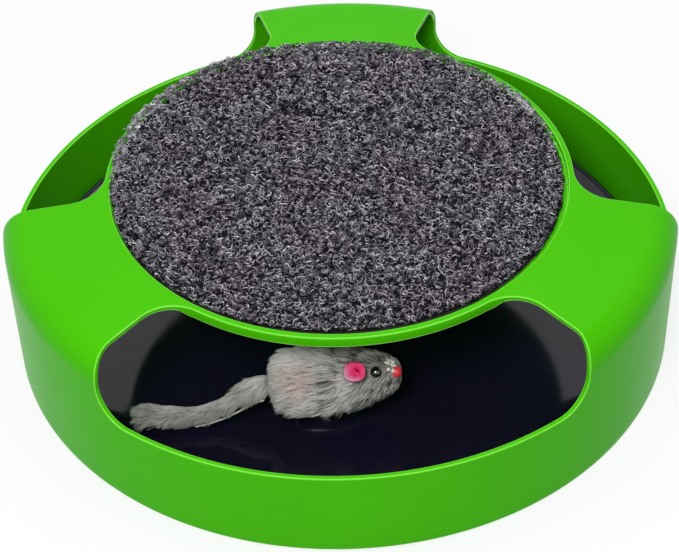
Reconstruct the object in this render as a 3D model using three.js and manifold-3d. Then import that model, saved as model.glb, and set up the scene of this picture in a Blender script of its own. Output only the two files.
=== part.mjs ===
// Rotating mouse cat toy: a round moulded cover with three windows and a carpet scratching pad,
// over a free-spinning dish that carries a small furry mouse on a clear clip.
// Millimetres, +Z up, front towards -Y, origin on the floor below the centre of the toy.

import * as THREE from 'three';
import { mergeVertices } from 'three/addons/utils/BufferGeometryUtils.js';
import Module from 'manifold-3d';

const wasm = await Module();
wasm.setup();

// Cover: overall shell
const shellRadius = 125;
const wallDraft = 0.5;
const wallThickness = 1.9;
const groundClearance = 1;
const shoulderHeight = 51;
const shoulderRadius = 12;
const topSlopeDegrees = 4.7;

// Cover: windows and the ring round the pad, measured on the outer face
const windowDrop = 14.2;
const ringWidth = 2.3;
const sillCornerRadius = 12.5;
const ringCornerRadius = 13;
const platformThickness = 1.9;
const ringDepth = 4.2;
const ringUndersideWidth = 3;
const ringUndersideRise = 3.5;

// Each window runs from one azimuth to another, with how far its sides lean in on the upright wall
const windows = [
  { from: 225.6, to: 313.4, fromInset: 1.2, toInset: 1.8 },
  { from: 350.6, to: 430.3, fromInset: 0.25, toInset: 0.25 },
  { from: 105.2, to: 185, fromInset: 0.25, toInset: 0.25 },
];

// Scratching pad and its recess
const padRadius = 83.3;
const padGap = 1;
const padShift = 0.6;
const recessDepth = 2.4;
const pileThickness = 2;
const pileEdgeRadius = 1.2;
const backingThickness = 1;
const backingInset = 0.5;
const adhesiveThickness = 0.3;
const adhesiveInset = 3;

// Base plate with its centre boss and glide rail
const fitGap = 0.4;
const basePlateLift = 0.6;
const basePlateThickness = 2;
const bossRadius = 7;
const bossRise = 0.4;
const railInset = 20;
const railWidth = 3;
const railHeight = 0.9;

// Screws that hold the cover to the base plate
const coverScrewCount = 4;
const coverScrewStartDegrees = 0;
const coverBossInset = 5.4;
const coverBossRadius = 3.9;
const coverBossHeight = 3.2;
const coverScrewRadius = 1.3;
const coverScrewTipCover = 0.6;
const coverScrewHeadRadius = 2.8;
const coverScrewHeadHeight = 1;
const headClearance = 0.3;

// Rubber feet
const rubberFootCount = 4;
const rubberFootStartDegrees = 45;
const rubberFootInset = 20.2;
const rubberFootRadius = 8;
const rubberFootSink = 0.6;
const rubberFootEdge = 0.6;

// Spinning dish
const dishGap = 2.1;
const dishThickness = 1.8;
const dishCurveWidth = 40.5;
const dishRimRise = 5.4;
const dishLipRadius = 0.9;
const hubWall = 2.9;
const hubHeight = 7;

// Bearing of the dish
const runningGap = 0.15;
const glideGap = 0.2;
const bushWall = 1.8;
const thrustWasherThickness = 1;
const topWasherThickness = 0.8;
const topWasherCover = 1.55;
const spindleScrewRadius = 1.4;
const spindleScrewLength = 8;
const spindleHeadRadius = 3.2;
const spindleHeadHeight = 2.2;
const driveSlotWidth = 0.9;
const driveSlotDepth = 0.8;

// Clear clip that carries the mouse
const clipSetBack = 2;
const clipSetOut = 1.4;
const clipFootLength = 22;
const clipFootWidth = 13;
const clipFootThickness = 1.2;
const clipStemLength = 7;
const clipStemWidth = 3.2;
const clipBarbLength = 9.5;
const clipBarbHeight = 1.6;
const clipStudRadius = 2;
const clipScrewRadius = 0.9;
const clipScrewHeadRadius = 2.6;
const clipScrewHeadHeight = 0.7;

// Mouse, along its own X axis from the back of its body to the tip of its nose
const mouseX = -5;
const mouseInset = 14.4;
const mouseLift = 17.8;
const mouseYawDegrees = 1.5;
const mouseLength = 50;
const mouseHalfHeight = 13;
const mouseHalfWidth = 12.2;
const furGap = 0.3;
const furThickness = 2.7;
const stuffing = 4.7;
const coreWall = 1.1;
const bellyHoleRadius = 6.2;
const tailReach = 52;
const tailRadius = 4.1;
const tailFloorGap = 0.9;
const tailRootSink = 4;
const tailRootSide = 1.1;
const tailRootDrop = 2.9;
const tailHideThickness = 0.8;
const tailHideWidth = 3.4;
const tailHideDegrees = 215;
const eyeRadius = 2.1;
const eyeForward = 16;
const eyeDegrees = 50;
const eyeSink = 0.7;
const noseRadius = 1.7;
const noseSink = 0.6;
const earRadius = 4;
const earThickness = 1.1;
const earCup = 1.4;
const earForward = 8.2;
const earDegrees = 53;

// Radii that follow from the sizes above, from the wall inwards
const footRadius = shellRadius - wallDraft;
const wallInside = footRadius - wallThickness;
const dishRadius = wallInside - dishGap;
const dishFlatRadius = dishRadius - dishCurveWidth;
const plateRadius = wallInside - fitGap;
const coverScrewCircle = wallInside - coverBossInset;
const rubberFootCircle = plateRadius - rubberFootInset;
const railRadius = dishFlatRadius - railInset;
const recessRadius = padRadius + padGap;
const windowInnerRadius = recessRadius + ringWidth;
const bushInner = bossRadius + runningGap;
const bushOuter = bushInner + bushWall;
const hubInner = bushOuter + runningGap;
const hubRadius = hubInner + hubWall;
const topWasherRadius = bushOuter + topWasherCover;

// Heights that follow from the sizes above, from the floor upwards
const basePlateBottom = groundClearance + basePlateLift;
const basePlateTop = basePlateBottom + basePlateThickness;
const rubberFootHeight = basePlateBottom + rubberFootSink;
const coverBossTop = basePlateTop + coverBossHeight;
const coverScrewHeadTop = basePlateBottom + coverScrewHeadHeight;
const coverScrewTip = coverBossTop - coverScrewTipCover;
const dishUnderside = basePlateTop + thrustWasherThickness + glideGap;
const dishFloorTop = dishUnderside + dishThickness;
const dishRimTop = dishFloorTop + dishRimRise;
const hubTop = dishFloorTop + hubHeight;
const bossTop = hubTop + bossRise;
const topWasherTop = bossTop + topWasherThickness;
const clipFootTop = dishFloorTop + clipFootThickness;
const mouseHeight = dishFloorTop + mouseLift;
const sillHeight = shoulderHeight - windowDrop;

// Places of the mouse and its clip on the dish
const mouseY = mouseInset - dishFlatRadius;
const clipX = mouseX - clipSetBack;
const clipY = mouseY - clipSetOut;

// Mesh fineness
const shellSegments = 90;
const dishSegments = 60;
const padSegments = 54;
const smallSegments = 18;
const arcSteps = 4;
const shoulderSteps = 6;
const windowStepDegrees = 6;
const cutOverrun = 6;

// Turns degrees into radians
const radians = THREE.MathUtils.degToRad;

/** Material of one finish. */
function finish(color, roughness, options = {}) {
  return new THREE.MeshStandardMaterial({ color, roughness, metalness: 0, ...options });
}

const finishes = {
  greenPlastic: finish(0x4bc30a, 0.32),
  blackPlastic: finish(0x0b0b0f, 0.18),
  carpet: finish(0x55535a, 0.95),
  board: finish(0x3b3836, 0.9),
  adhesive: finish(0xd9d2b8, 0.6),
  rubber: finish(0x222224, 0.85),
  steel: finish(0xa9abae, 0.3, { metalness: 1 }),
  nylon: finish(0xe8e6df, 0.5),
  clear: finish(0xe9f1f6, 0.05, { transparent: true, opacity: 0.35 }),
  fur: finish(0x96948c, 0.95),
  hide: finish(0xcdc3ae, 0.9),
  felt: finish(0xff4682, 0.95),
  bead: finish(0x08080a, 0.05),
  redBead: finish(0xdc4646, 0.4),
};

/** Closed geometry with shared corners, no empty triangles and its faces pointing out. */
function closed(geometry) {
  const bare = geometry.clone();
  bare.deleteAttribute('normal');
  bare.deleteAttribute('uv');
  const merged = mergeVertices(bare);
  const place = merged.getAttribute('position');
  const corners = merged.getIndex().array;
  const kept = [];
  let volume = 0;
  const a = new THREE.Vector3();
  const b = new THREE.Vector3();
  const c = new THREE.Vector3();
  for (let i = 0; i < corners.length; i += 3) {
    const [p, q, r] = [corners[i], corners[i + 1], corners[i + 2]];
    if (p === q || q === r || r === p) continue;
    a.fromBufferAttribute(place, p);
    b.fromBufferAttribute(place, q);
    c.fromBufferAttribute(place, r);
    volume += a.dot(b.cross(c));
    kept.push([p, q, r]);
  }
  if (volume < 0) kept.forEach((triangle) => triangle.reverse());
  merged.setIndex(kept.flat());
  return merged;
}

/** Manifold solid of a closed geometry. */
function solid(geometry) {
  const body = closed(geometry);
  const vertProperties = Float32Array.from(body.getAttribute('position').array);
  const triVerts = Uint32Array.from(body.getIndex().array);
  return new wasm.Manifold(new wasm.Mesh({ numProp: 3, vertProperties, triVerts }));
}

/** Geometry of a manifold solid. */
function surface(body) {
  const mesh = body.getMesh();
  const geometry = new THREE.BufferGeometry();
  geometry.setAttribute('position', new THREE.BufferAttribute(Float32Array.from(mesh.vertProperties), 3));
  geometry.setIndex(new THREE.BufferAttribute(Uint32Array.from(mesh.triVerts), 1));
  geometry.computeVertexNormals();
  return geometry;
}

/** Solid turned about Z from [radius, height] points that start and end on the axis or close. */
function turned(points, segments) {
  const profile = points.map(([radius, height]) => new THREE.Vector2(radius, height));
  const geometry = new THREE.LatheGeometry(profile, segments);
  const upright = new THREE.Matrix4().set(1, 0, 0, 0, 0, 0, -1, 0, 0, 1, 0, 0, 0, 0, 0, 1);
  return closed(geometry.applyMatrix4(upright));
}

/** Plain round disc or, with an inner radius, a flat ring, between two heights. */
function disc(radius, bottom, top, segments = smallSegments, innerRadius = 0) {
  const points = [[innerRadius, bottom], [radius, bottom], [radius, top], [innerRadius, top]];
  if (innerRadius > 0) points.push([innerRadius, bottom]);
  return turned(points, segments);
}

/** Points of an arc in the radius and height plane, from one angle to another in degrees. */
function arc(centreRadius, centreHeight, radius, from, to, steps = arcSteps) {
  const points = [];
  for (let i = 0; i <= steps; i += 1) {
    const angle = radians(from + (to - from) * (i / steps));
    points.push([centreRadius + radius * Math.cos(angle), centreHeight + radius * Math.sin(angle)]);
  }
  return points;
}

/** Closed solid through rings of points, each ring with as many points as the next. */
function loft(rings) {
  const count = rings[0].length;
  const points = rings.flat();
  const faces = [];
  for (let i = 0; i + 1 < rings.length; i += 1) {
    for (let j = 0; j < count; j += 1) {
      const k = (j + 1) % count;
      const [a, b, c, d] = [i * count + j, i * count + k, (i + 1) * count + k, (i + 1) * count + j];
      faces.push(a, b, c, a, c, d);
    }
  }
  for (const [ring, turn] of [[0, true], [rings.length - 1, false]]) {
    const middle = new THREE.Vector3();
    rings[ring].forEach((point) => middle.addScaledVector(point, 1 / count));
    points.push(middle);
    for (let j = 0; j < count; j += 1) {
      const [a, b] = [ring * count + j, ring * count + ((j + 1) % count)];
      faces.push(points.length - 1, turn ? b : a, turn ? a : b);
    }
  }
  const geometry = new THREE.BufferGeometry().setFromPoints(points);
  geometry.setIndex(faces);
  return closed(geometry);
}

/** Copy of a geometry, moved. */
function moved(geometry, x, y, z) {
  return geometry.clone().translate(x, y, z);
}

/** Point on a circle about Z at an azimuth in degrees. */
function around(radius, degrees, height = 0) {
  const angle = radians(degrees);
  return new THREE.Vector3(radius * Math.cos(angle), radius * Math.sin(angle), height);
}

const toy = new THREE.Group();

/** Adds one named piece to a group. */
function piece(name, geometry, material, parent = toy) {
  const mesh = new THREE.Mesh(geometry, material.clone());
  mesh.name = name;
  parent.add(mesh);
  return mesh;
}

const slope = Math.tan(radians(topSlopeDegrees));
const shoulderTurn = 90 - topSlopeDegrees;
const shoulderCentre = shellRadius - shoulderRadius;
const shoulderEnd = arc(shoulderCentre, shoulderHeight, shoulderRadius, 0, shoulderTurn).at(-1);
const innerShoulderRadius = shoulderRadius - wallThickness;
const innerShoulderEnd = arc(
  shoulderCentre, shoulderHeight, innerShoulderRadius, 0, shoulderTurn,
).at(-1);

/** Height of the cover's outer face above its sloping top, at a radius. */
function topAt(radius) {
  return shoulderEnd[1] + (shoulderEnd[0] - radius) * slope;
}

const recessFloor = topAt(recessRadius) - recessDepth;

/** Height of the cover's inner face under its sloping top, at a radius. */
function undersideAt(radius) {
  return innerShoulderEnd[1] + (innerShoulderEnd[0] - radius) * slope;
}

/** Turned shell of the cover, before its windows are cut. */
function coverShell() {
  const ringUnderside = topAt(windowInnerRadius) - ringDepth;
  const ringOuter = windowInnerRadius + ringUndersideWidth;
  const platformUnderside = recessFloor - platformThickness;
  return turned([
    [0, recessFloor],
    [recessRadius, recessFloor],
    [recessRadius, topAt(recessRadius)],
    ...arc(shoulderCentre, shoulderHeight, shoulderRadius, shoulderTurn, 0, shoulderSteps),
    [footRadius, groundClearance],
    [footRadius - wallThickness, groundClearance],
    ...arc(shoulderCentre, shoulderHeight, innerShoulderRadius, 0, shoulderTurn, shoulderSteps),
    [ringOuter + ringUndersideRise, undersideAt(ringOuter + ringUndersideRise)],
    [ringOuter, Math.min(ringUnderside, platformUnderside)],
    [0, platformUnderside],
  ], shellSegments);
}

/** Places over the cover's shoulder from the wall to the top, with the face's direction. */
function shoulderPlaces() {
  const points = arc(shoulderCentre, shoulderHeight, shoulderRadius, 0, shoulderTurn, shoulderSteps);
  return points.map(([radius, height], i) => {
    const share = i / shoulderSteps;
    return { radius, height, tilt: shoulderTurn * share, share };
  });
}

/** Outer radius of the cover's nearly upright wall at a height. */
function wallRadiusAt(height) {
  const share = (height - groundClearance) / (shoulderHeight - groundClearance);
  return THREE.MathUtils.lerp(footRadius, shellRadius, share);
}

/** One side of a window's outline, from the sill up to the ring, as azimuth, radius and height. */
function windowSide(edge, inward, wallInset) {
  const side = [];
  for (const [across, up] of arc(sillCornerRadius, sillCornerRadius, sillCornerRadius, 270, 180)) {
    const height = sillHeight + up;
    const radius = wallRadiusAt(height);
    const inset = wallInset + THREE.MathUtils.radToDeg(across / radius);
    side.push({ degrees: edge + inward * inset, radius, height, tilt: 0 });
  }
  for (const place of shoulderPlaces()) {
    side.push({ ...place, degrees: edge + inward * wallInset * (1 - place.share) });
  }
  for (const [across, up] of arc(ringCornerRadius, ringCornerRadius, ringCornerRadius, 180, 270)) {
    const radius = windowInnerRadius + up;
    const inset = THREE.MathUtils.radToDeg(across / radius);
    side.push({ degrees: edge + inward * inset, radius, height: topAt(radius), tilt: shoulderTurn });
  }
  return side;
}

/** Even steps between two neighbouring outline places, without the ends. */
function between(first, last) {
  const steps = Math.max(1, Math.round(Math.abs(last.degrees - first.degrees) / windowStepDegrees));
  const places = [];
  for (let i = 1; i < steps; i += 1) {
    places.push({ ...first, degrees: THREE.MathUtils.lerp(first.degrees, last.degrees, i / steps) });
  }
  return places;
}

/** Solid that cuts one window, straight through the wall along the direction of its face. */
function windowCutter({ from, to, fromInset, toInset }) {
  const first = windowSide(from, 1, fromInset);
  const second = windowSide(to, -1, toInset).reverse();
  const outline = [
    ...first, ...between(first.at(-1), second[0]), ...second, ...between(second.at(-1), first[0]),
  ];
  const ringAt = (offset) => outline.map((place) => {
    const tilt = radians(place.tilt);
    return around(
      place.radius + offset * Math.cos(tilt), place.degrees, place.height + offset * Math.sin(tilt),
    );
  });
  const middle = (from + to) / 2;
  const outside = around(2 * shellRadius, middle, 2 * shoulderHeight);
  const inside = around(windowInnerRadius, middle, sillHeight);
  const rings = [ringAt(-cutOverrun), ringAt(cutOverrun)];
  const count = outline.length;
  const points = [...rings[0], ...rings[1], inside, outside];
  const faces = [];
  for (let j = 0; j < count; j += 1) {
    const k = (j + 1) % count;
    faces.push(j, k, count + k, j, count + k, count + j);
    faces.push(2 * count, k, j);
    faces.push(2 * count + 1, count + j, count + k);
  }
  const geometry = new THREE.BufferGeometry().setFromPoints(points);
  geometry.setIndex(faces);
  return solid(geometry);
}

/** Azimuths of pieces spread evenly round the toy. */
function spread(count, startDegrees) {
  return Array.from({ length: count }, (_, i) => startDegrees + (i * 360) / count);
}

const coverScrewAzimuths = spread(coverScrewCount, coverScrewStartDegrees);
const rubberFootAzimuths = spread(rubberFootCount, rubberFootStartDegrees);

/** Screw boss on the cover's inner wall, with the web that ties it to the wall. */
function coverBoss(degrees) {
  const place = around(coverScrewCircle, degrees);
  const post = solid(moved(disc(coverBossRadius, basePlateTop, coverBossTop), place.x, place.y, 0));
  const webLength = wallInside + wallThickness / 2 - coverScrewCircle;
  const web = new THREE.BoxGeometry(webLength, coverBossRadius, coverBossHeight);
  web.translate(coverScrewCircle + webLength / 2, 0, basePlateTop + coverBossHeight / 2);
  web.rotateZ(radians(degrees));
  const hole = disc(coverScrewRadius + runningGap, basePlateTop - cutOverrun, coverScrewTip + runningGap);
  return post.add(solid(web)).subtract(solid(moved(hole, place.x, place.y, 0)));
}

/** Finished cover: shell, windows and screw bosses. */
function topCover() {
  let body = solid(coverShell());
  for (const opening of windows) body = body.subtract(windowCutter(opening));
  for (const degrees of coverScrewAzimuths) body = body.add(coverBoss(degrees));
  return surface(body);
}

/** Slotted pan-head screw standing on its head, head at the bottom, shank up. */
function screw(headRadius, headHeight, shankRadius, length) {
  const body = solid(turned([
    [0, 0], [headRadius, 0], [headRadius, headHeight],
    [shankRadius, headHeight], [shankRadius, headHeight + length], [0, headHeight + length],
  ], smallSegments));
  const slot = new THREE.BoxGeometry(2 * headRadius + driveSlotWidth, driveSlotWidth, 2 * driveSlotDepth);
  return surface(body.subtract(solid(slot)));
}

/** Base plate with its boss, glide rail, screw holes and foot recesses. */
function basePlate() {
  const railOuter = railRadius + railWidth / 2;
  const railInner = railRadius - railWidth / 2;
  const railTop = basePlateTop + railHeight;
  const holeRadius = spindleScrewRadius + runningGap;
  const holeBottom = topWasherTop - spindleScrewLength - runningGap;
  let body = solid(turned([
    [0, basePlateBottom], [plateRadius, basePlateBottom], [plateRadius, basePlateTop],
    [railOuter, basePlateTop], [railOuter, railTop], [railInner, railTop], [railInner, basePlateTop],
    [bossRadius, basePlateTop], [bossRadius, bossTop], [holeRadius, bossTop],
    [holeRadius, holeBottom], [0, holeBottom],
  ], dishSegments));
  for (const degrees of coverScrewAzimuths) {
    const place = around(coverScrewCircle, degrees);
    const hole = disc(coverScrewRadius + headClearance, 0, basePlateTop + cutOverrun);
    const head = disc(coverScrewHeadRadius + headClearance, 0, coverScrewHeadTop);
    body = body.subtract(solid(moved(hole, place.x, place.y, 0)));
    body = body.subtract(solid(moved(head, place.x, place.y, 0)));
  }
  for (const degrees of rubberFootAzimuths) {
    const place = around(rubberFootCircle, degrees);
    const recess = disc(rubberFootRadius + headClearance, 0, rubberFootHeight);
    body = body.subtract(solid(moved(recess, place.x, place.y, 0)));
  }
  return surface(body);
}

/** Height of the dish's upper face at a radius. */
function dishAt(radius) {
  const rimInner = dishRadius - 2 * dishLipRadius;
  const share = Math.max(0, (radius - dishFlatRadius) / (rimInner - dishFlatRadius));
  return dishFloorTop + (dishRimTop - dishLipRadius - dishFloorTop) * share ** 2;
}

/** Spinning dish: hub, flat floor and upturned rim, with the hole for the clip's stud. */
function turntable() {
  const rimInner = dishRadius - 2 * dishLipRadius;
  const curveSteps = 6;
  const upper = [];
  const lower = [];
  for (let i = 0; i <= curveSteps; i += 1) {
    const radius = THREE.MathUtils.lerp(dishFlatRadius, rimInner, i / curveSteps);
    upper.push([radius, dishAt(radius)]);
    const below = THREE.MathUtils.lerp(dishRadius, dishFlatRadius, i / curveSteps);
    lower.push([below, dishAt(Math.min(below, rimInner)) - dishThickness]);
  }
  const body = solid(turned([
    [hubInner, dishUnderside], [hubInner, hubTop], [hubRadius, hubTop], [hubRadius, dishFloorTop],
    ...upper,
    ...arc(dishRadius - dishLipRadius, dishRimTop - dishLipRadius, dishLipRadius, 180, 0).slice(1),
    ...lower,
    [hubInner, dishUnderside],
  ], dishSegments));
  const stud = disc(clipStudRadius + runningGap, 0, dishFloorTop + cutOverrun);
  const head = disc(clipScrewHeadRadius + headClearance, 0, dishUnderside + clipScrewHeadHeight);
  return surface(body
    .subtract(solid(moved(stud, clipX, clipY, 0)))
    .subtract(solid(moved(head, clipX, clipY, 0))));
}

piece('top_cover', topCover(), finishes.greenPlastic);

// Scratching pad, bottom layer first
const backingBottom = recessFloor + adhesiveThickness;
const pileBottom = backingBottom + backingThickness;
const pileTop = pileBottom + pileThickness;
const pad = new THREE.Group();
pad.position.x = -padShift;
toy.add(pad);
piece('pad_adhesive', disc(padRadius - adhesiveInset, recessFloor, backingBottom, padSegments),
  finishes.adhesive, pad);
piece('pad_backing', disc(padRadius - backingInset, backingBottom, pileBottom, padSegments),
  finishes.board, pad);
piece('carpet_pile', turned([
  [0, pileBottom], [padRadius, pileBottom],
  ...arc(padRadius - pileEdgeRadius, pileTop - pileEdgeRadius, pileEdgeRadius, 0, 90),
  [0, pileTop],
], padSegments), finishes.carpet, pad);

piece('base_plate', basePlate(), finishes.blackPlastic);

rubberFootAzimuths.forEach((degrees, i) => {
  const foot = piece(`rubber_foot_${i + 1}`, turned([
    [0, 0], [rubberFootRadius - rubberFootEdge, 0], [rubberFootRadius, rubberFootEdge],
    [rubberFootRadius, rubberFootHeight], [0, rubberFootHeight],
  ], smallSegments), finishes.rubber);
  foot.position.copy(around(rubberFootCircle, degrees));
});

coverScrewAzimuths.forEach((degrees, i) => {
  const shank = coverScrewTip - coverScrewHeadTop;
  const geometry = screw(coverScrewHeadRadius, coverScrewHeadHeight, coverScrewRadius, shank);
  const fastener = piece(`cover_screw_${i + 1}`, geometry, finishes.steel);
  fastener.position.copy(around(coverScrewCircle, degrees, basePlateBottom));
});

// Bearing on the centre boss
const bearing = new THREE.Group();
toy.add(bearing);
piece('thrust_washer', disc(hubRadius, basePlateTop, basePlateTop + thrustWasherThickness,
  smallSegments, bushInner), finishes.nylon, bearing);
piece('retaining_washer', disc(topWasherRadius, bossTop, topWasherTop, smallSegments,
  spindleScrewRadius + runningGap), finishes.steel, bearing);
const spindleScrew = piece('spindle_screw', screw(
  spindleHeadRadius, spindleHeadHeight, spindleScrewRadius, spindleScrewLength,
), finishes.steel, bearing);
spindleScrew.rotation.x = Math.PI;
spindleScrew.position.z = topWasherTop + spindleHeadHeight;

// Everything that spins
const spinner = new THREE.Group();
toy.add(spinner);
piece('turntable', turntable(), finishes.blackPlastic, spinner);
piece('hub_bush', disc(bushOuter, dishUnderside, hubTop, smallSegments, bushInner),
  finishes.nylon, spinner);

/** Rounded flat plate on the XY plane, between two heights. */
function roundedPlate(length, width, bottom, top) {
  const radius = width / 2;
  const reach = length / 2 - radius;
  const shape = new THREE.Shape();
  shape.absarc(reach, 0, radius, -Math.PI / 2, Math.PI / 2);
  shape.absarc(-reach, 0, radius, Math.PI / 2, 1.5 * Math.PI);
  const geometry = new THREE.ExtrudeGeometry(shape, {
    depth: top - bottom, bevelEnabled: false, curveSegments: smallSegments / 3,
  });
  return closed(geometry.translate(0, 0, bottom));
}

/** Clear clip: foot on the dish, stud through it, flat stem and a barbed head inside the mouse. */
function mouseClip() {
  const foot = solid(roundedPlate(clipFootLength, clipFootWidth, dishFloorTop, clipFootTop));
  const stud = solid(disc(clipStudRadius, dishUnderside + clipScrewHeadHeight, clipFootTop));
  const stemFrom = clipFootTop - clipFootThickness / 2;
  const stem = solid(roundedPlate(clipStemLength, clipStemWidth, stemFrom, mouseHeight));
  const barb = solid(roundedPlate(clipBarbLength, clipStemWidth, mouseHeight - clipBarbHeight, mouseHeight));
  const pilot = solid(disc(clipScrewRadius + runningGap, 0, clipFootTop));
  return surface(foot.add(stud).add(stem).add(barb).subtract(pilot));
}

piece('mouse_clip', mouseClip(), finishes.clear, spinner).position.set(clipX, clipY, 0);
const clipScrewLength = clipFootTop - dishUnderside - 2 * clipScrewHeadHeight;
piece('clip_screw', screw(clipScrewHeadRadius, clipScrewHeadHeight, clipScrewRadius, clipScrewLength),
  finishes.steel, spinner).position.set(clipX, clipY, dishUnderside);

const mouse = new THREE.Group();
mouse.position.set(mouseX, mouseY, mouseHeight);
mouse.rotation.z = radians(mouseYawDegrees);
spinner.add(mouse);

// Each row: share of the mouse's length, share of its girth, lift as a share of its half height
const bodyShares = [
  [-0.5, 0.12, 0], [-0.485, 0.45, 0], [-0.45, 0.72, 0], [-0.39, 0.9, 0], [-0.3, 0.985, 0],
  [-0.16, 1, 0], [0, 0.97, 0], [0.08, 0.86, 0], [0.14, 0.62, 0], [0.17, 0.3, 0],
];
const headShares = [
  [0.02, 0.55, 0], [0.07, 0.9, 0.02], [0.14, 0.955, 0.03], [0.22, 0.88, 0.06], [0.3, 0.76, 0.1],
  [0.38, 0.6, 0.15], [0.44, 0.44, 0.19], [0.48, 0.28, 0.21], [0.5, 0.1, 0.22],
];

/** Fur outline at one row of shares: its middle along X, its half width, half height and lift. */
function furSection([along, girth, lift], grow = 0) {
  return {
    x: along * mouseLength,
    width: mouseHalfWidth * girth + grow,
    height: mouseHalfHeight * girth + grow,
    lift: mouseHalfHeight * lift,
  };
}

/** Egg-like solid along X through a table of shares, grown by a margin. */
function furForm(shares, grow = 0, sides = 20) {
  const rings = shares.map((row, i) => {
    const section = furSection(row, grow);
    const end = { 0: -grow, [shares.length - 1]: grow }[i] ?? 0;
    return Array.from({ length: sides }, (_, j) => {
      const angle = (2 * Math.PI * j) / sides;
      return new THREE.Vector3(
        section.x + end, section.width * Math.cos(angle), section.lift + section.height * Math.sin(angle),
      );
    });
  });
  return loft(rings);
}

/** Place on the head's fur at a distance forward and an angle up from one side, with its direction. */
function onHead(forward, degrees, side) {
  const share = forward / mouseLength;
  const i = headShares.findIndex(([along]) => along > share);
  const [before, after] = [headShares[i - 1], headShares[i]];
  const mix = (share - before[0]) / (after[0] - before[0]);
  const section = furSection(before.map((value, k) => THREE.MathUtils.lerp(value, after[k], mix)));
  const angle = radians(degrees);
  const place = new THREE.Vector3(
    forward, side * section.width * Math.cos(angle), section.lift + section.height * Math.sin(angle),
  );
  return { place, outward: new THREE.Vector3(0, side * Math.cos(angle), Math.sin(angle)) };
}

/** Ball with few faces around a place in the mouse's own frame. */
function ball(radius, place, segments = 12) {
  return closed(new THREE.SphereGeometry(radius, segments, (2 * segments) / 3)
    .translate(place.x, place.y, place.z));
}

// The hard core fills the body but for the stuffing and fur round it
const bodyEnds = [bodyShares[0][0] * mouseLength, bodyShares.at(-1)[0] * mouseLength];
const coreMiddle = (bodyEnds[0] + bodyEnds[1]) / 2;
const coreLength = bodyEnds[1] - bodyEnds[0] - 2 * furThickness;
const coreRadius = mouseHalfWidth - stuffing;

/** Egg-shaped solid of the mouse's hard core at a radius and a length. */
function coreForm(radius, length) {
  const geometry = new THREE.SphereGeometry(1, 16, 10);
  geometry.rotateZ(Math.PI / 2);
  geometry.scale(length / 2, radius, radius);
  return solid(geometry.translate(coreMiddle, 0, 0));
}

// The belly opening that the clip passes, from below up to the middle of the mouse
const belly = new THREE.Vector3(clipX - mouseX, clipY - mouseY, 0);
const bellyHole = solid(moved(disc(bellyHoleRadius, -mouseHeight, 0), belly.x, belly.y, 0));

const coreCavity = coreForm(coreRadius + furGap, coreLength + 2 * furGap);
const coreInside = coreForm(coreRadius - coreWall, coreLength - 2 * coreWall);
piece('mouse_core', surface(coreForm(coreRadius, coreLength).subtract(coreInside).subtract(bellyHole)),
  finishes.nylon, mouse);
piece('mouse_body', surface(solid(furForm(bodyShares)).subtract(coreCavity).subtract(bellyHole)),
  finishes.fur, mouse);

const noseRow = furSection(headShares.at(-1));
const features = [
  { name: 'nose', radius: noseRadius, material: finishes.redBead,
    place: new THREE.Vector3(noseRow.x - noseSink, 0, noseRow.lift) },
];
for (const [name, side] of [['eye_right', -1], ['eye_left', 1]]) {
  const { place, outward } = onHead(eyeForward, eyeDegrees, side);
  features.push({ name, radius: eyeRadius, material: finishes.bead,
    place: place.addScaledVector(outward, -eyeSink) });
}
let head = solid(furForm(headShares)).subtract(solid(furForm(bodyShares, furGap)));
for (const { name, radius, material, place } of features) {
  head = head.subtract(solid(ball(radius + furGap, place)));
  piece(name, ball(radius, place), material, mouse);
}
piece('mouse_head', surface(head), finishes.fur, mouse);

// Cupped felt ears
for (const [name, side] of [['ear_right', -1], ['ear_left', 1]]) {
  const { place, outward } = onHead(earForward, earDegrees, side);
  const ear = piece(name, turned([
    [0, 0], [earRadius / 2, earCup / 4], [earRadius, earCup], [earRadius, earCup + earThickness],
    [earRadius - earThickness, earCup + earThickness], [earRadius / 2, earCup / 4 + earThickness],
    [0, earThickness],
  ], smallSegments / 2), finishes.felt, mouse);
  ear.position.copy(place).addScaledVector(outward, furGap);
  ear.quaternion.setFromUnitVectors(new THREE.Vector3(0, 0, 1), outward);
}

// Tail from its root in the body to its tip: shares of its reach back, aside, down and of its girth
const tailShares = [
  [0, 0, 0, 0.8], [0.165, 0.012, 0.058, 0.84], [0.317, -0.013, 0.125, 0.9], [0.525, -0.042, 0.179, 1],
  [0.712, -0.037, 0.187, 1.02], [0.875, -0.035, 0.179, 1], [0.96, -0.05, 0.172, 0.86],
  [0.99, -0.06, 0.169, 0.5],
];
const tailRoot = new THREE.Vector3(tailRootSink - mouseLength / 2, tailRootSide, -tailRootDrop);

/** Point of the tail's path: it droops from its root until the fur lies just above the dish. */
function tailPoint([back, aside, down, girth]) {
  const point = new THREE.Vector3(-back, aside, -down).multiplyScalar(tailReach).add(tailRoot);
  const lowest = dishAt(Math.hypot(point.x + mouseX, point.y + mouseY) + tailRadius)
    + tailFloorGap + girth * tailRadius - mouseHeight;
  point.z = Math.max(point.z, lowest);
  return point;
}

const tailPath = new THREE.CatmullRomCurve3(tailShares.map(tailPoint));

/** Section across the tail's path at a share of its length, from offsets along its side and up. */
function acrossTail(share, offsets) {
  const middle = tailPath.getPoint(share);
  const along = tailPath.getTangent(share);
  const aside = new THREE.Vector3(0, 0, 1).cross(along).normalize();
  const up = along.clone().cross(aside);
  return offsets.map(([sideways, upwards]) => (
    middle.clone().addScaledVector(aside, sideways).addScaledVector(up, upwards)
  ));
}

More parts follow.
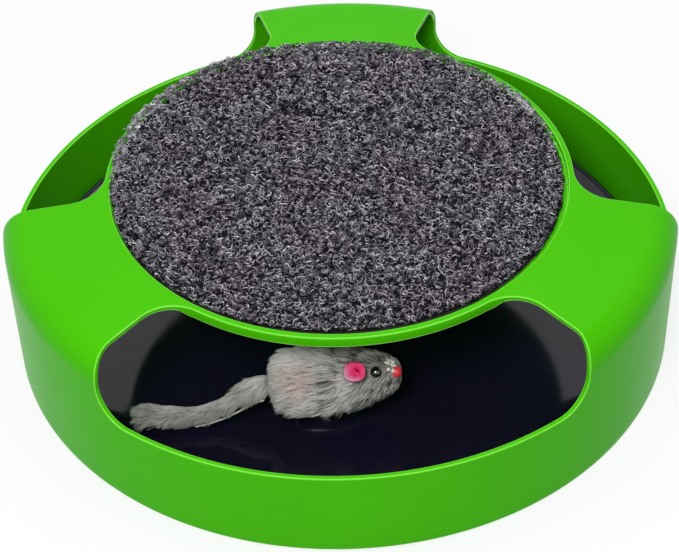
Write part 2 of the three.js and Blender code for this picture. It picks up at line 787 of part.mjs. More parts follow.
const tailSteps = tailShares.length - 1;
const tailRings = tailShares.map(([, , , girth], i) => acrossTail(i / tailSteps, Array.from(
  { length: smallSegments / 2 },
  (_, j) => {
    const angle = (4 * Math.PI * j) / smallSegments;
    return [girth * tailRadius * Math.cos(angle), girth * tailRadius * Math.sin(angle)];
  },
)));
const tail = solid(loft(tailRings)).subtract(solid(furForm(bodyShares, furGap)));
piece('mouse_tail', surface(tail), finishes.fur, mouse);

// Bare hide edge that shows along the lower front of the tail
const hideRings = tailShares.slice(1, -3).map(([, , , girth], i) => {
  const angle = radians(tailHideDegrees);
  const inner = girth * tailRadius + furGap;
  const corners = [[inner, -1], [inner, 1], [inner + tailHideThickness, 1], [inner + tailHideThickness, -1]];
  return acrossTail((i + 1) / tailSteps, corners.map(([out, end]) => {
    const across = (end * tailHideWidth) / 2;
    return [
      -out * Math.cos(angle) + across * Math.sin(angle), out * Math.sin(angle) + across * Math.cos(angle),
    ];
  }));
});
piece('tail_hide', loft(hideRings), finishes.hide, mouse);

export default toy;
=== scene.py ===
"""Looks of the rotating mouse cat toy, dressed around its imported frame.

The frame holds every piece at its real size. This script models the visible surfaces again at
full fineness, gives each piece its finish, and sets up a plain studio and the camera.

Sizes are in millimetres and angles in degrees, where nothing else is said.
"""

import logging
import math
from collections.abc import Callable, Sequence
from dataclasses import dataclass
from enum import Enum
from functools import cache

import bpy
import numpy as np
from mathutils import Matrix, Vector


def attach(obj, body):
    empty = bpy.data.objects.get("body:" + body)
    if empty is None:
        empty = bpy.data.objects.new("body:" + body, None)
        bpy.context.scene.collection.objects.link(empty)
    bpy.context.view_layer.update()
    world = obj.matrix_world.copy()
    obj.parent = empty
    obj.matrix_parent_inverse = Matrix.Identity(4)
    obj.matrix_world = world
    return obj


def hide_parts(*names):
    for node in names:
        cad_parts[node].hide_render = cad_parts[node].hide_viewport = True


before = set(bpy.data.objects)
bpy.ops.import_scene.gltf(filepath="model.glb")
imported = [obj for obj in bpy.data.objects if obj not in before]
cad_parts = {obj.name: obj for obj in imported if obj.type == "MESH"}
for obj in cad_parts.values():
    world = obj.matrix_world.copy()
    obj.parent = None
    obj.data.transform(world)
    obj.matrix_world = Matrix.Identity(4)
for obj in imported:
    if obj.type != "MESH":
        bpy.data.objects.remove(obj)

MM = 0.001
FULL_TURN = 360.0
HALF_TURN = 180.0
WHOLE_ROUND = 2 * math.pi
SAME_PLACE = 1e-6
NEXT_TO_NOTHING = 1e-9
TONE = "tone"
# Mark of the rounded edge faces, which carry a painted edge highlight, and a painted glow where they
# look down.
EDGE_MARK = "rounded_edge"
HIGH_EDGE = 0.5
LOW_EDGE = 1.0
MARK_STEP = 0.1
log = logging.getLogger("cat_toy")

Array = np.ndarray
Draws = np.random.Generator
Piece = bpy.types.Object
Socket = bpy.types.NodeSocket
Material = bpy.types.Material
Colour = tuple[float, float, float, float]
Stops = tuple[tuple[float, Colour], ...]
Place = tuple[float, float, float]
Span = tuple[float, float]
Profile = list[Span]
Knots = tuple[float, ...]
Curve = tuple[Knots, Knots]
Rows = tuple[Place, ...]


class Body(Enum):
    """The two bodies of the frame that pieces ride on."""

    HOUSING = "housing"
    SPINNER = "spinner"


class Side(Enum):
    """Side of the mouse, seen along its own X axis."""

    RIGHT = -1
    LEFT = 1


def srgb(red: float, green: float, blue: float) -> Colour:
    """Linear colour of a display colour whose parts run from 0 to 255, opaque."""
    parts = [channel / 255 for channel in (red, green, blue)]
    return (*[p / 12.92 if p <= 0.04045 else ((p + 0.055) / 1.055) ** 2.4 for p in parts], 1.0)


def grey(level: float) -> Colour:
    """Linear grey of a level, opaque."""
    return (level, level, level, 1.0)


# Numbers: what shapes and hairs are worked out with


def eased(share: Array | float) -> Array | float:
    """Share from 0 to 1 with a soft start and a soft end."""
    return share * share * (3 - 2 * share)


def spaced(start: float, end: float, step: float) -> list[float]:
    """Even spots from a start up to, but not at, an end, about a step apart."""
    return list(np.linspace(start, end, max(1, round((end - start) / step)), endpoint=False))


def softened(values: Array, times: int) -> Array:
    """Smooths values along their first axis and holds both ends.

    Args:
        values: The values, which are changed.
        times: How many times over.

    Returns:
        The same values.
    """
    for _ in range(times):
        values[1:-1] = (values[:-2] + 2 * values[1:-1] + values[2:]) / 4
    return values


def sampled(spots: Array, knots: Array, values: Array) -> Array:
    """Rows of values at spots between knots, each column read on its own."""
    return np.stack([np.interp(spots, knots, column) for column in values.T], axis=1)


def unit(vectors: Array, spare: float = 0.0) -> Array:
    """Vectors at a length of 1, with something spare where it may be 0."""
    return vectors / (np.linalg.norm(vectors, axis=-1, keepdims=True) + spare)


def around(turn: Array, first: Array, second: Array) -> Array:
    """Directions at angles from a first direction towards a second one."""
    return np.cos(turn)[:, None] * first + np.sin(turn)[:, None] * second


def ripple(points: Array, scale: float, seed: int) -> Array:
    """Soft seeded noise from a few crossed waves.

    Args:
        points: The places, one row each.
        scale: Size of the waves.
        seed: Seed of the waves.

    Returns:
        A value from about -1 to 1 for each place.
    """
    count = 7
    draw = np.random.default_rng(seed)
    waves = draw.normal(size=(count, points.shape[-1])) / scale
    phases = draw.uniform(0, WHOLE_ROUND, count)
    return np.sin(points @ waves.T + phases).mean(axis=-1) * 2


def arc(centre: Span, radius: float, start: float, end: float, steps: int) -> Profile:
    """Points of an arc about a centre, from one angle to another in degrees."""
    turns = np.radians(np.linspace(start, end, steps + 1))
    return [(centre[0] + radius * math.cos(t), centre[1] + radius * math.sin(t)) for t in turns]


def aligned(points: Array, place: Array, direction: Array, roll: float = 0.0) -> Array:
    """Points with +Z turned to a direction and moved to a place.

    Args:
        points: The points, one row each.
        place: Where the origin goes.
        direction: Where +Z goes.
        roll: Turn about the direction.

    Returns:
        The moved points.
    """
    spin = Matrix.Rotation(math.radians(roll), 3, "Z").to_quaternion()
    turn = Vector(direction).to_track_quat("Z", "Y") @ spin
    return points @ np.array(turn.to_matrix()).T + np.array(Vector(place))


# Workbench: what every piece is modelled with


def leave_edit() -> None:
    """Goes back to object mode."""
    bpy.ops.object.mode_set(mode="OBJECT")


def deselect_all() -> None:
    """Leaves nothing selected, before an operator acts on a new piece."""
    if bpy.context.mode != "OBJECT":
        leave_edit()
    bpy.ops.object.select_all(action="DESELECT")


def focus(piece: Piece) -> None:
    """Makes one object the only selected and the active one.

    Args:
        piece: The object.
    """
    deselect_all()
    piece.select_set(True)
    bpy.context.view_layer.objects.active = piece


def started(primitive: Callable[..., set[str]], **settings: object) -> Piece:
    """Adds a primitive to shape, with nothing else selected.

    Args:
        primitive: The operator that adds it.
        **settings: Its settings; without a location it stands at the origin.

    Returns:
        The new object.
    """
    deselect_all()
    primitive(**{"location": (0, 0, 0), **settings})
    return bpy.context.object


def ball(segments: int, rings: int) -> Piece:
    """Adds a ball of unit radius to shape, with its poles on Z."""
    return started(bpy.ops.mesh.primitive_uv_sphere_add, segments=segments, ring_count=rings, radius=1)


def edit(piece: Piece, mode: str = "VERT", select: str = "SELECT") -> None:
    """Opens a piece alone in edit mode.

    Args:
        piece: The piece.
        mode: Kind of element to select.
        select: What happens to all of its elements: SELECT or DESELECT.
    """
    focus(piece)
    bpy.ops.object.mode_set(mode="EDIT")
    bpy.ops.mesh.select_mode(type=mode)
    bpy.ops.mesh.select_all(action=select)


def pick(piece: Piece, chosen: Sequence[bool], mode: str = "VERT") -> None:
    """Opens a piece in edit mode with some of its elements selected.

    Args:
        piece: The piece.
        chosen: Whether each vertex or face is selected.
        mode: VERT for vertices, FACE for faces.
    """
    edit(piece, mode, "DESELECT")
    leave_edit()
    elements = piece.data.polygons if mode == "FACE" else piece.data.vertices
    elements.foreach_set("select", np.asarray(chosen, bool))
    bpy.ops.object.mode_set(mode="EDIT")


def tidy_faces() -> None:
    """Merges doubles and turns faces outwards on the open piece, and closes it."""
    bpy.ops.mesh.select_all(action="SELECT")
    bpy.ops.mesh.remove_doubles(threshold=SAME_PLACE)
    bpy.ops.mesh.normals_make_consistent(inside=False)
    leave_edit()


def places(piece: Piece) -> Array:
    """Reads the places of a piece's vertices.

    Args:
        piece: The piece.

    Returns:
        The places in metres, one row each.
    """
    found = np.empty(len(piece.data.vertices) * 3)
    piece.data.vertices.foreach_get("co", found)
    return found.reshape(-1, 3)


def put(piece: Piece, points: Array) -> None:
    """Moves the vertices of a piece to new places, in metres."""
    piece.data.vertices.foreach_set("co", np.asarray(points, float).ravel())
    piece.data.update()


def mark(mesh: bpy.types.Mesh, name: str, values: Sequence[float], domain: str = "POINT") -> None:
    """Writes one number on each vertex or face of a mesh, as a named attribute."""
    attribute = mesh.attributes.new(name, "FLOAT", domain)
    attribute.data.foreach_set("value", np.asarray(values, np.float32))


def settle(piece: Piece, name: str) -> Piece:
    """Names a piece and turns its faces outwards.

    Args:
        piece: The modelled object.
        name: The name that it keeps.

    Returns:
        The same object, in object mode and with its place in its mesh.
    """
    edit(piece)
    tidy_faces()
    bpy.ops.object.transform_apply(location=True, rotation=True, scale=True)
    piece.name = name
    piece.data.name = name
    return piece


def modify(piece: Piece, kind: str, **settings: object) -> None:
    """Adds a modifier and applies it.

    Args:
        piece: The piece.
        kind: Kind of modifier.
        **settings: Its settings.
    """
    focus(piece)
    modifier = piece.modifiers.new(kind.title(), kind)
    for key, value in settings.items():
        setattr(modifier, key, value)
    bpy.ops.object.modifier_apply(modifier=modifier.name)


def bevel(piece: Piece, width: float, segments: int = 3, marked: bool = False) -> None:
    """Rounds the sharp edges of a piece, and marks the rounded faces, which carry painted edge light,
    if asked.

    Args:
        piece: The piece.
        width: Width of the rounding.
        segments: Number of strips across the rounding.
        marked: Whether the rounded faces are marked, those that look down apart from the others.
    """
    sharp, looks_down = 40.0, -0.2
    materials = piece.data.materials
    if marked:
        materials.append(None)
        materials.append(None)
    modify(
        piece, "BEVEL", width=width * MM, segments=segments, limit_method="ANGLE",
        angle_limit=math.radians(sharp), use_clamp_overlap=False, material=1 if marked else -1,
    )
    if marked:
        faces = piece.data.polygons
        kinds = [LOW_EDGE if face.normal.z < looks_down else HIGH_EDGE for face in faces]
        rounded = [kind * face.material_index for kind, face in zip(kinds, faces)]
        mark(piece.data, EDGE_MARK, rounded, "FACE")
        faces.foreach_set("material_index", [0] * len(faces))
        materials.clear()


def smooth(piece: Piece, angle: float = 60.0) -> None:
    """Shades a piece smooth but for its edges above an angle in degrees."""
    focus(piece)
    bpy.ops.object.shade_smooth_by_angle(angle=math.radians(angle))


def lumpy(piece: Piece, size: float, depth: float) -> None:
    """Pushes a piece's surface in and out by soft lumps.

    Args:
        piece: The piece.
        size: Size of the lumps.
        depth: How far they reach in or out.
    """
    texture = bpy.data.textures.new(piece.name + "_lumps", "CLOUDS")
    texture.noise_scale = size * MM
    texture.noise_depth = 2
    modify(piece, "DISPLACE", texture=texture, strength=2 * depth * MM, texture_coords="LOCAL")


def turned(name: str, profile: Profile, segments: int, loop: bool = False) -> Piece:
    """Turns a profile about Z: a circle is extruded and resized from point to point.

    Args:
        name: Name of the piece.
        profile: Radius and height of each point, from one end to the other.
        segments: Vertices round the turn.
        loop: Whether the last point joins the first, as on a ring.

    Returns:
        The closed piece, with a pole wherever the profile ends on or near the axis.
    """
    radius, height = profile[0]
    piece = started(bpy.ops.mesh.primitive_circle_add, vertices=segments, radius=radius * MM)
    edit(piece)
    bpy.ops.transform.translate(value=(0, 0, height * MM))
    for next_radius, next_height in profile[1:]:
        share = next_radius / radius
        rise = (0, 0, (next_height - height) * MM)
        bpy.ops.mesh.extrude_region_move(TRANSFORM_OT_translate={"value": rise})
        bpy.ops.transform.resize(value=(share, share, 1), center_override=(0, 0, next_height * MM))
        radius, height = next_radius, next_height
    last = (len(profile) - 1) * segments
    if loop:
        ends = np.zeros(len(profile) * segments, bool)
        ends[:segments] = True
        ends[last:] = True
        pick(piece, ends)
        bpy.ops.mesh.bridge_edge_loops()
    else:
        for first in (0, last):
            leave_edit()
            end = np.zeros(len(piece.data.vertices), bool)
            end[first : first + segments] = True
            pick(piece, end)
            bpy.ops.mesh.extrude_region_move()
            bpy.ops.mesh.merge(type="CENTER")
    return settle(piece, name)


def pillar(corners: int, levels: int, rise: float = 1.0, pointed: bool = False) -> Piece:
    """Extrudes a capped circle of unit radius upwards, level by level.

    Args:
        corners: Vertices round the circle.
        levels: Number of levels above the first.
        rise: Height of each level.
        pointed: Whether the top closes to a point.

    Returns:
        The closed column, in object mode.
    """
    piece = started(bpy.ops.mesh.primitive_circle_add, vertices=corners, radius=1)
    edit(piece)
    bpy.ops.mesh.edge_face_add()
    bpy.ops.mesh.select_all(action="SELECT")
    for _ in range(levels):
        bpy.ops.mesh.extrude_region_move(TRANSFORM_OT_translate={"value": (0, 0, rise)})
    if pointed:
        bpy.ops.mesh.merge(type="CENTER")
    leave_edit()
    pick(piece, places(piece)[:, 2] < rise / 2)
    bpy.ops.mesh.edge_face_add()
    leave_edit()
    return piece


# Fibres: one blank fibre is modelled, and bent copies of it make pile and fur


@dataclass
class Fibre:
    """Blank of a three-sided tapering fibre of unit size, cut into even lengths."""

    steps: int

    def __post_init__(self) -> None:
        """Models one straight fibre and reads its vertices and faces."""
        piece = pillar(3, self.steps, 1 / self.steps, pointed=True)
        edit(piece)
        tidy_faces()
        found = places(piece)
        self.corners = found[:, :2]
        self.level = np.rint(found[:, 2] * self.steps).astype(int)
        self.faces = [list(polygon.vertices) for polygon in piece.data.polygons]
        bpy.data.objects.remove(piece)

    def scatter(self, name: str, lines: Array, sides: Array, radii: Array, tones: Array) -> Piece:
        """Joins bent copies of the fibre into one piece.

        Args:
            name: Name of the piece.
            lines: Middle of each copy at each step: copies by steps by 3.
            sides: A direction for each copy that it never runs along.
            radii: Radius of each copy at each step.
            tones: Tone of each copy at each step, from 0 to 1.

        Returns:
            The piece, with its tone attribute.
        """
        along = np.gradient(lines, axis=1)
        across = unit(np.cross(along, sides[:, None, :]), NEXT_TO_NOTHING)
        up = unit(np.cross(across, along), NEXT_TO_NOTHING)
        offset = self.corners[:, :1] * across[:, self.level] + self.corners[:, 1:] * up[:, self.level]
        points = lines[:, self.level] + radii[:, self.level, None] * offset
        count = len(self.level)
        shifts = (np.arange(len(lines)) * count)[:, None]
        corner = (np.concatenate(self.faces)[None] + shifts).ravel()
        totals = np.tile([len(face) for face in self.faces], len(lines))
        mesh = bpy.data.meshes.new(name)
        mesh.vertices.add(count * len(lines))
        mesh.vertices.foreach_set("co", (points * MM).ravel())
        mesh.loops.add(len(corner))
        mesh.loops.foreach_set("vertex_index", corner)
        mesh.polygons.add(len(totals))
        mesh.polygons.foreach_set("loop_start", np.cumsum(totals) - totals)
        mesh.polygons.foreach_set("loop_total", totals)
        mesh.polygons.foreach_set("use_smooth", np.ones(len(totals), bool))
        mesh.update(calc_edges=True)
        mark(mesh, TONE, tones[:, self.level].ravel())
        piece = bpy.data.objects.new(name, mesh)
        bpy.context.scene.collection.objects.link(piece)
        return piece


# Finishes: shared effects first, then one class for each kind of finish


class NodeSheet:
    """Tree of shader nodes being drawn up."""

    def __init__(self, tree: bpy.types.NodeTree) -> None:
        """Takes the tree that the nodes go into."""
        self.tree = tree

    def feed(self, socket: Socket, value: object) -> None:
        """Links an input to another node's socket, or sets it to a plain value.

        Args:
            socket: The input.
            value: The other socket, or the value.
        """
        if isinstance(value, Socket):
            self.tree.links.new(value, socket)
        else:
            socket.default_value = value

    def node(
        self, kind: str, inputs: dict[str | int, object] | None = None, **settings: object
    ) -> bpy.types.Node:
        """Adds a node.

        Args:
            kind: Kind of node.
            inputs: Sockets and plain values for its inputs, by name or number.
            **settings: The node's own settings.

        Returns:
            The new node.
        """
        made = self.tree.nodes.new(kind)
        for key, value in settings.items():
            setattr(made, key, value)
        for key, value in (inputs or {}).items():
            self.feed(made.inputs[key], value)
        return made

    def calculate(self, operation: str, first: object, second: object, clamped: bool = False) -> Socket:
        """Number that an operation makes of two, from 0 to 1 where it is clamped."""
        settings = {"operation": operation, "use_clamp": clamped}
        return self.node("ShaderNodeMath", {0: first, 1: second}, **settings).outputs[0]

    def seen_rays(self) -> Socket:
        """Masks the rays that see a surface: straight, mirrored or through glass.

        Returns:
            The mask's socket.
        """
        rays = self.node("ShaderNodeLightPath").outputs
        mask = rays["Is Camera Ray"]
        for title in ("Is Glossy Ray", "Is Transmission Ray"):
            mask = self.calculate("MAXIMUM", mask, rays[title])
        return mask

    def limited(self, value: Socket, least: float, most: float, share: float = 1.0) -> Socket:
        """Share that a value reaches between two limits in either order."""
        inputs = {"Value": value, "From Min": least, "From Max": most, "To Max": share}
        return self.node("ShaderNodeMapRange", inputs).outputs["Result"]

    def object_place(self) -> Socket:
        """Adds the place on the piece's own coordinates."""
        return self.node("ShaderNodeTexCoord").outputs["Object"]


class Effect(NodeSheet):
    """Shader node group with named inputs and outputs, built once."""

    def __init__(self, name: str, inputs: dict[str, float], outputs: Sequence[str]) -> None:
        """Opens the group with its sockets.

        Args:
            name: Name of the group.
            inputs: Default of each input.
            outputs: Name of each output.
        """
        super().__init__(bpy.data.node_groups.new(name, "ShaderNodeTree"))
        sockets = self.tree.interface
        for title, default in inputs.items():
            socket = sockets.new_socket(title, in_out="INPUT", socket_type="NodeSocketFloat")
            socket.default_value = default
        for title in outputs:
            sockets.new_socket(title, in_out="OUTPUT", socket_type="NodeSocketFloat")
        self.given = self.tree.nodes.new("NodeGroupInput").outputs
        self.result = self.tree.nodes.new("NodeGroupOutput").inputs


@cache
def grain_effect() -> bpy.types.NodeTree:
    """Draws up fine moulded grain as a height and a roughness.

    Returns:
        The shared group.
    """
    effect = Effect(
        "surface_grain", {"Fineness": 900.0, "Roughness": 0.3, "Variation": 0.08},
        ("Height", "Roughness"),
    )
    where = effect.object_place()
    fine_inputs = {"Vector": where, "Scale": effect.given["Fineness"], "Detail": 3.0}
    fine = effect.node("ShaderNodeTexNoise", fine_inputs)
    broad = effect.node("ShaderNodeTexNoise", {"Vector": where, "Scale": 38.0, "Detail": 4.0})
    centred = effect.calculate("SUBTRACT", broad.outputs["Fac"], 0.5)
    scaled = effect.calculate("MULTIPLY", centred, effect.given["Variation"])
    summed = effect.calculate("ADD", scaled, effect.given["Roughness"], clamped=True)
    effect.feed(effect.result["Height"], fine.outputs["Fac"])
    effect.feed(effect.result["Roughness"], summed)
    return effect.tree


@cache
def dust_effect() -> bpy.types.NodeTree:
    """Draws up a mask of fine specks, for dust and lint on dark and clear pieces.

    Returns:
        The shared group.
    """
    effect = Effect("fine_dust", {"Fineness": 420.0, "Amount": 0.2}, ("Mask",))
    cell_inputs = {"Vector": effect.object_place(), "Scale": effect.given["Fineness"]}
    cells = effect.node("ShaderNodeTexVoronoi", cell_inputs)
    specks = effect.limited(cells.outputs["Distance"], 0.05, 0.0)
    mask = effect.calculate("MULTIPLY", specks, effect.given["Amount"], clamped=True)
    effect.feed(effect.result["Mask"], mask)
    return effect.tree


class MaterialSheet(NodeSheet):
    """One material being drawn up: its nodes, and the shader that it ends in."""

    def __init__(self, name: str) -> None:
        """Opens the material with only its shader and its output.

        Args:
            name: Name of the material.
        """
        self.material = bpy.data.materials.new(name)
        self.material.use_nodes = True
        super().__init__(self.material.node_tree)
        self.shader = self.tree.nodes["Principled BSDF"]

    def set(self, **values: object) -> None:
        """Feeds the shader's own sockets; an underscore stands for a space."""
        for title, value in values.items():
            self.feed(self.shader.inputs[title.replace("_", " ")], value)

    def effect(self, tree: bpy.types.NodeTree, **values: float) -> bpy.types.bpy_prop_collection:
        """Outputs of a shared effect that is placed with its own values."""
        return self.node("ShaderNodeGroup", values, node_tree=tree).outputs

    def bump(self, height: Socket, strength: float, distance: float) -> None:
        """Feeds a height to the shader's normal, at a share and at a depth."""
        inputs = {"Height": height, "Strength": strength, "Distance": distance * MM}
        self.set(Normal=self.node("ShaderNodeBump", inputs).outputs["Normal"])

    def ramp(self, value: Socket, stops: Stops) -> Socket:
        """Turns a value into a colour.

        Args:
            value: The value's socket.
            stops: Positions from 0 to 1, with their colours.

        Returns:
            The socket with the colour.
        """
        made = self.node("ShaderNodeValToRGB", {"Fac": value})
        band = made.color_ramp
        while len(band.elements) < len(stops):
            band.elements.new(1.0)
        for element, (position, colour) in zip(band.elements, stops):
            element.position = position
            element.color = colour
        return made.outputs["Color"]

    def mix(self, mask: Socket, first: object, second: object, blend: str = "MIX") -> Socket:
        """Colour that is the first where a mask is 0 and the second where it is 1."""
        inputs = {0: mask, 6: first, 7: second}
        return self.node("ShaderNodeMix", inputs, data_type="RGBA", blend_type=blend).outputs[2]

    def edges(self, least: float, share: float) -> Socket:
        """Mask, up to a share, of the faces whose edge mark is above a least one: where edge light is
        painted.
        """
        marks = self.node("ShaderNodeAttribute", attribute_name=EDGE_MARK)
        return self.limited(marks.outputs["Fac"], least, least + MARK_STEP, share)

    def noise(self, scale: float, detail: float, stretch: Place | None = None) -> Socket:
        """Adds noise over the piece's own coordinates.

        Args:
            scale: Fineness of the noise.
            detail: Number of finer layers.
            stretch: Scale along each axis, where it isn't the same.

        Returns:
            The noise's socket, from 0 to 1.
        """
        where = self.object_place()
        if stretch:
            mapping = self.node("ShaderNodeMapping", {"Vector": where, "Scale": stretch})
            where = mapping.outputs["Vector"]
        inputs = {"Vector": where, "Scale": scale, "Detail": detail}
        return self.node("ShaderNodeTexNoise", inputs).outputs["Fac"]


@dataclass(frozen=True)
class MouldedPlastic:
    """Injection-moulded plastic with a fine grain, soft mottling and faint dust; rounded edges may get
    a painted highlight and glow.
    """

    name: str
    colour: Colour
    shade: Colour
    roughness: float
    variation: float = 0.1
    fineness: float = 1500.0
    grain: float = 0.05
    grain_depth: float = 0.05
    mottling: float = 26.0
    dust: float = 0.05
    dust_fineness: float = 330.0
    dust_colour: Colour = grey(0.6)
    shine: float = 0.5
    # Painted highlight: a paler colour on the rounded edges, and a painted glow by emission on the
    # edges that look down.
    painted_edge_highlight: Colour | None = None
    painted_low_edge_light: Colour = grey(0.6)
    painted_highlight_share: float = 0.8
    painted_glow_strength: float = 0.4

    def draw(self, sheet: MaterialSheet) -> None:
        """Draws up the material from the shared grain and dust, with any painted edge highlight and
        glow.

        Args:
            sheet: The sheet of the material.
        """
        surface = sheet.effect(
            grain_effect(), Fineness=self.fineness, Roughness=self.roughness, Variation=self.variation
        )
        specks = sheet.effect(dust_effect(), Fineness=self.dust_fineness, Amount=self.dust)
        mottled = sheet.mix(sheet.noise(self.mottling, 4.0), self.shade, self.colour)
        colour = sheet.mix(specks["Mask"], mottled, self.dust_colour)
        # Painted highlight on the marked edges, and a painted glow through emission on those that look
        # down, though no lamp is there.
        if self.painted_edge_highlight:
            low = sheet.edges(LOW_EDGE - MARK_STEP, 1.0)
            edge = sheet.mix(low, self.painted_edge_highlight, self.painted_low_edge_light)
            colour = sheet.mix(sheet.edges(0.0, self.painted_highlight_share), colour, edge)
            glow = sheet.mix(low, grey(0.0), self.painted_low_edge_light)
            sheet.set(Emission_Color=glow, Emission_Strength=self.painted_glow_strength)
        sheet.set(Base_Color=colour, Roughness=surface["Roughness"], Specular_IOR_Level=self.shine)
        sheet.bump(surface["Height"], self.grain, self.grain_depth)


@dataclass(frozen=True)
class FibreFinish:
    """Hair, pile or felt, whose tone changes from strand to strand and from root to tip."""

    name: str
    stops: Stops
    tint: Colour
    tint_scale: float = 30.0
    tint_limits: Span = (0.45, 0.7)
    tint_place: Place | None = None
    tint_reach: Span = (10.0, 3.0)
    roughness: float = 0.75
    sheen: float = 0.3
    sheen_roughness: float = 0.5
    shine: float = 0.12
    bump_depth: float = 0.0
    bump_share: float = 0.6
    bump_fineness: float = 900.0

    def draw(self, sheet: MaterialSheet) -> None:
        """Draws up the material from the strands' own tone attribute.

        Args:
            sheet: The sheet of the material.
        """
        tone = sheet.node("ShaderNodeAttribute", attribute_name=TONE)
        colour = sheet.ramp(tone.outputs["Fac"], self.stops)
        if self.tint_place:
            ends = {0: sheet.object_place(), 1: [MM * axis for axis in self.tint_place]}
            gap = sheet.node("ShaderNodeVectorMath", ends, operation="DISTANCE")
            far, near = self.tint_reach
            patch = sheet.limited(gap.outputs["Value"], far * MM, near * MM)
        else:
            patch = sheet.limited(sheet.noise(self.tint_scale, 2.0), *self.tint_limits)
        sheet.set(
            Base_Color=sheet.mix(patch, colour, self.tint, "MULTIPLY"), Roughness=self.roughness,
            Sheen_Weight=self.sheen, Sheen_Roughness=self.sheen_roughness,
            Specular_IOR_Level=self.shine,
        )
        if self.bump_depth:
            sheet.bump(sheet.noise(self.bump_fineness, 5.0), self.bump_share, self.bump_depth)


@dataclass(frozen=True)
class BrokenColour:
    """Skin, board or plated metal: a broken colour and a fine bump on the same lines."""

    name: str
    colour: Colour
    shade: Colour
    scale: float
    depth: float
    roughness: float = 0.85
    metallic: float = 0.0
    sheen: float = 0.2
    sheen_roughness: float = 0.4
    shine: float = 0.1
    bump_share: float = 0.6
    detail: float = 6.0
    stretch: Place | None = None

    def draw(self, sheet: MaterialSheet) -> None:
        """Draws up the material.

        Args:
            sheet: The sheet of the material.
        """
        lines = sheet.noise(self.scale, self.detail, self.stretch)
        sheet.set(
            Base_Color=sheet.mix(lines, self.shade, self.colour), Roughness=self.roughness,
            Metallic=self.metallic, Sheen_Weight=self.sheen, Sheen_Roughness=self.sheen_roughness,
            Specular_IOR_Level=self.shine,
        )
        sheet.bump(lines, self.bump_share, self.depth)


@dataclass(frozen=True)
class Glossy:
    """Bead, glue or clear plastic: a smooth surface over one clear or deep colour."""

    name: str
    colour: Colour
    roughness: float
    transmission: float = 0.0
    coat: float = 0.0
    ior: float = 1.49
    shade_share: float = 0.9
    mottling: float = 400.0
    variation: float = 0.04
    fineness: float = 260.0
    wave_share: float = 0.05
    wave_depth: float = 0.05

    def draw(self, sheet: MaterialSheet) -> None:
        """Draws up the material, with a slight waviness from the shared grain.

        Args:
            sheet: The sheet of the material.
        """
        surface = sheet.effect(
            grain_effect(), Fineness=self.fineness, Roughness=self.roughness, Variation=self.variation
        )
        shade = tuple(self.shade_share * channel for channel in self.colour)
        colour = sheet.mix(sheet.noise(self.mottling, 2.0), self.colour, shade)
        sheet.set(
            Base_Color=colour, Roughness=surface["Roughness"], Coat_Weight=self.coat,
            Transmission_Weight=self.transmission, IOR=self.ior,
        )
        sheet.bump(surface["Height"], self.wave_share, self.wave_depth)


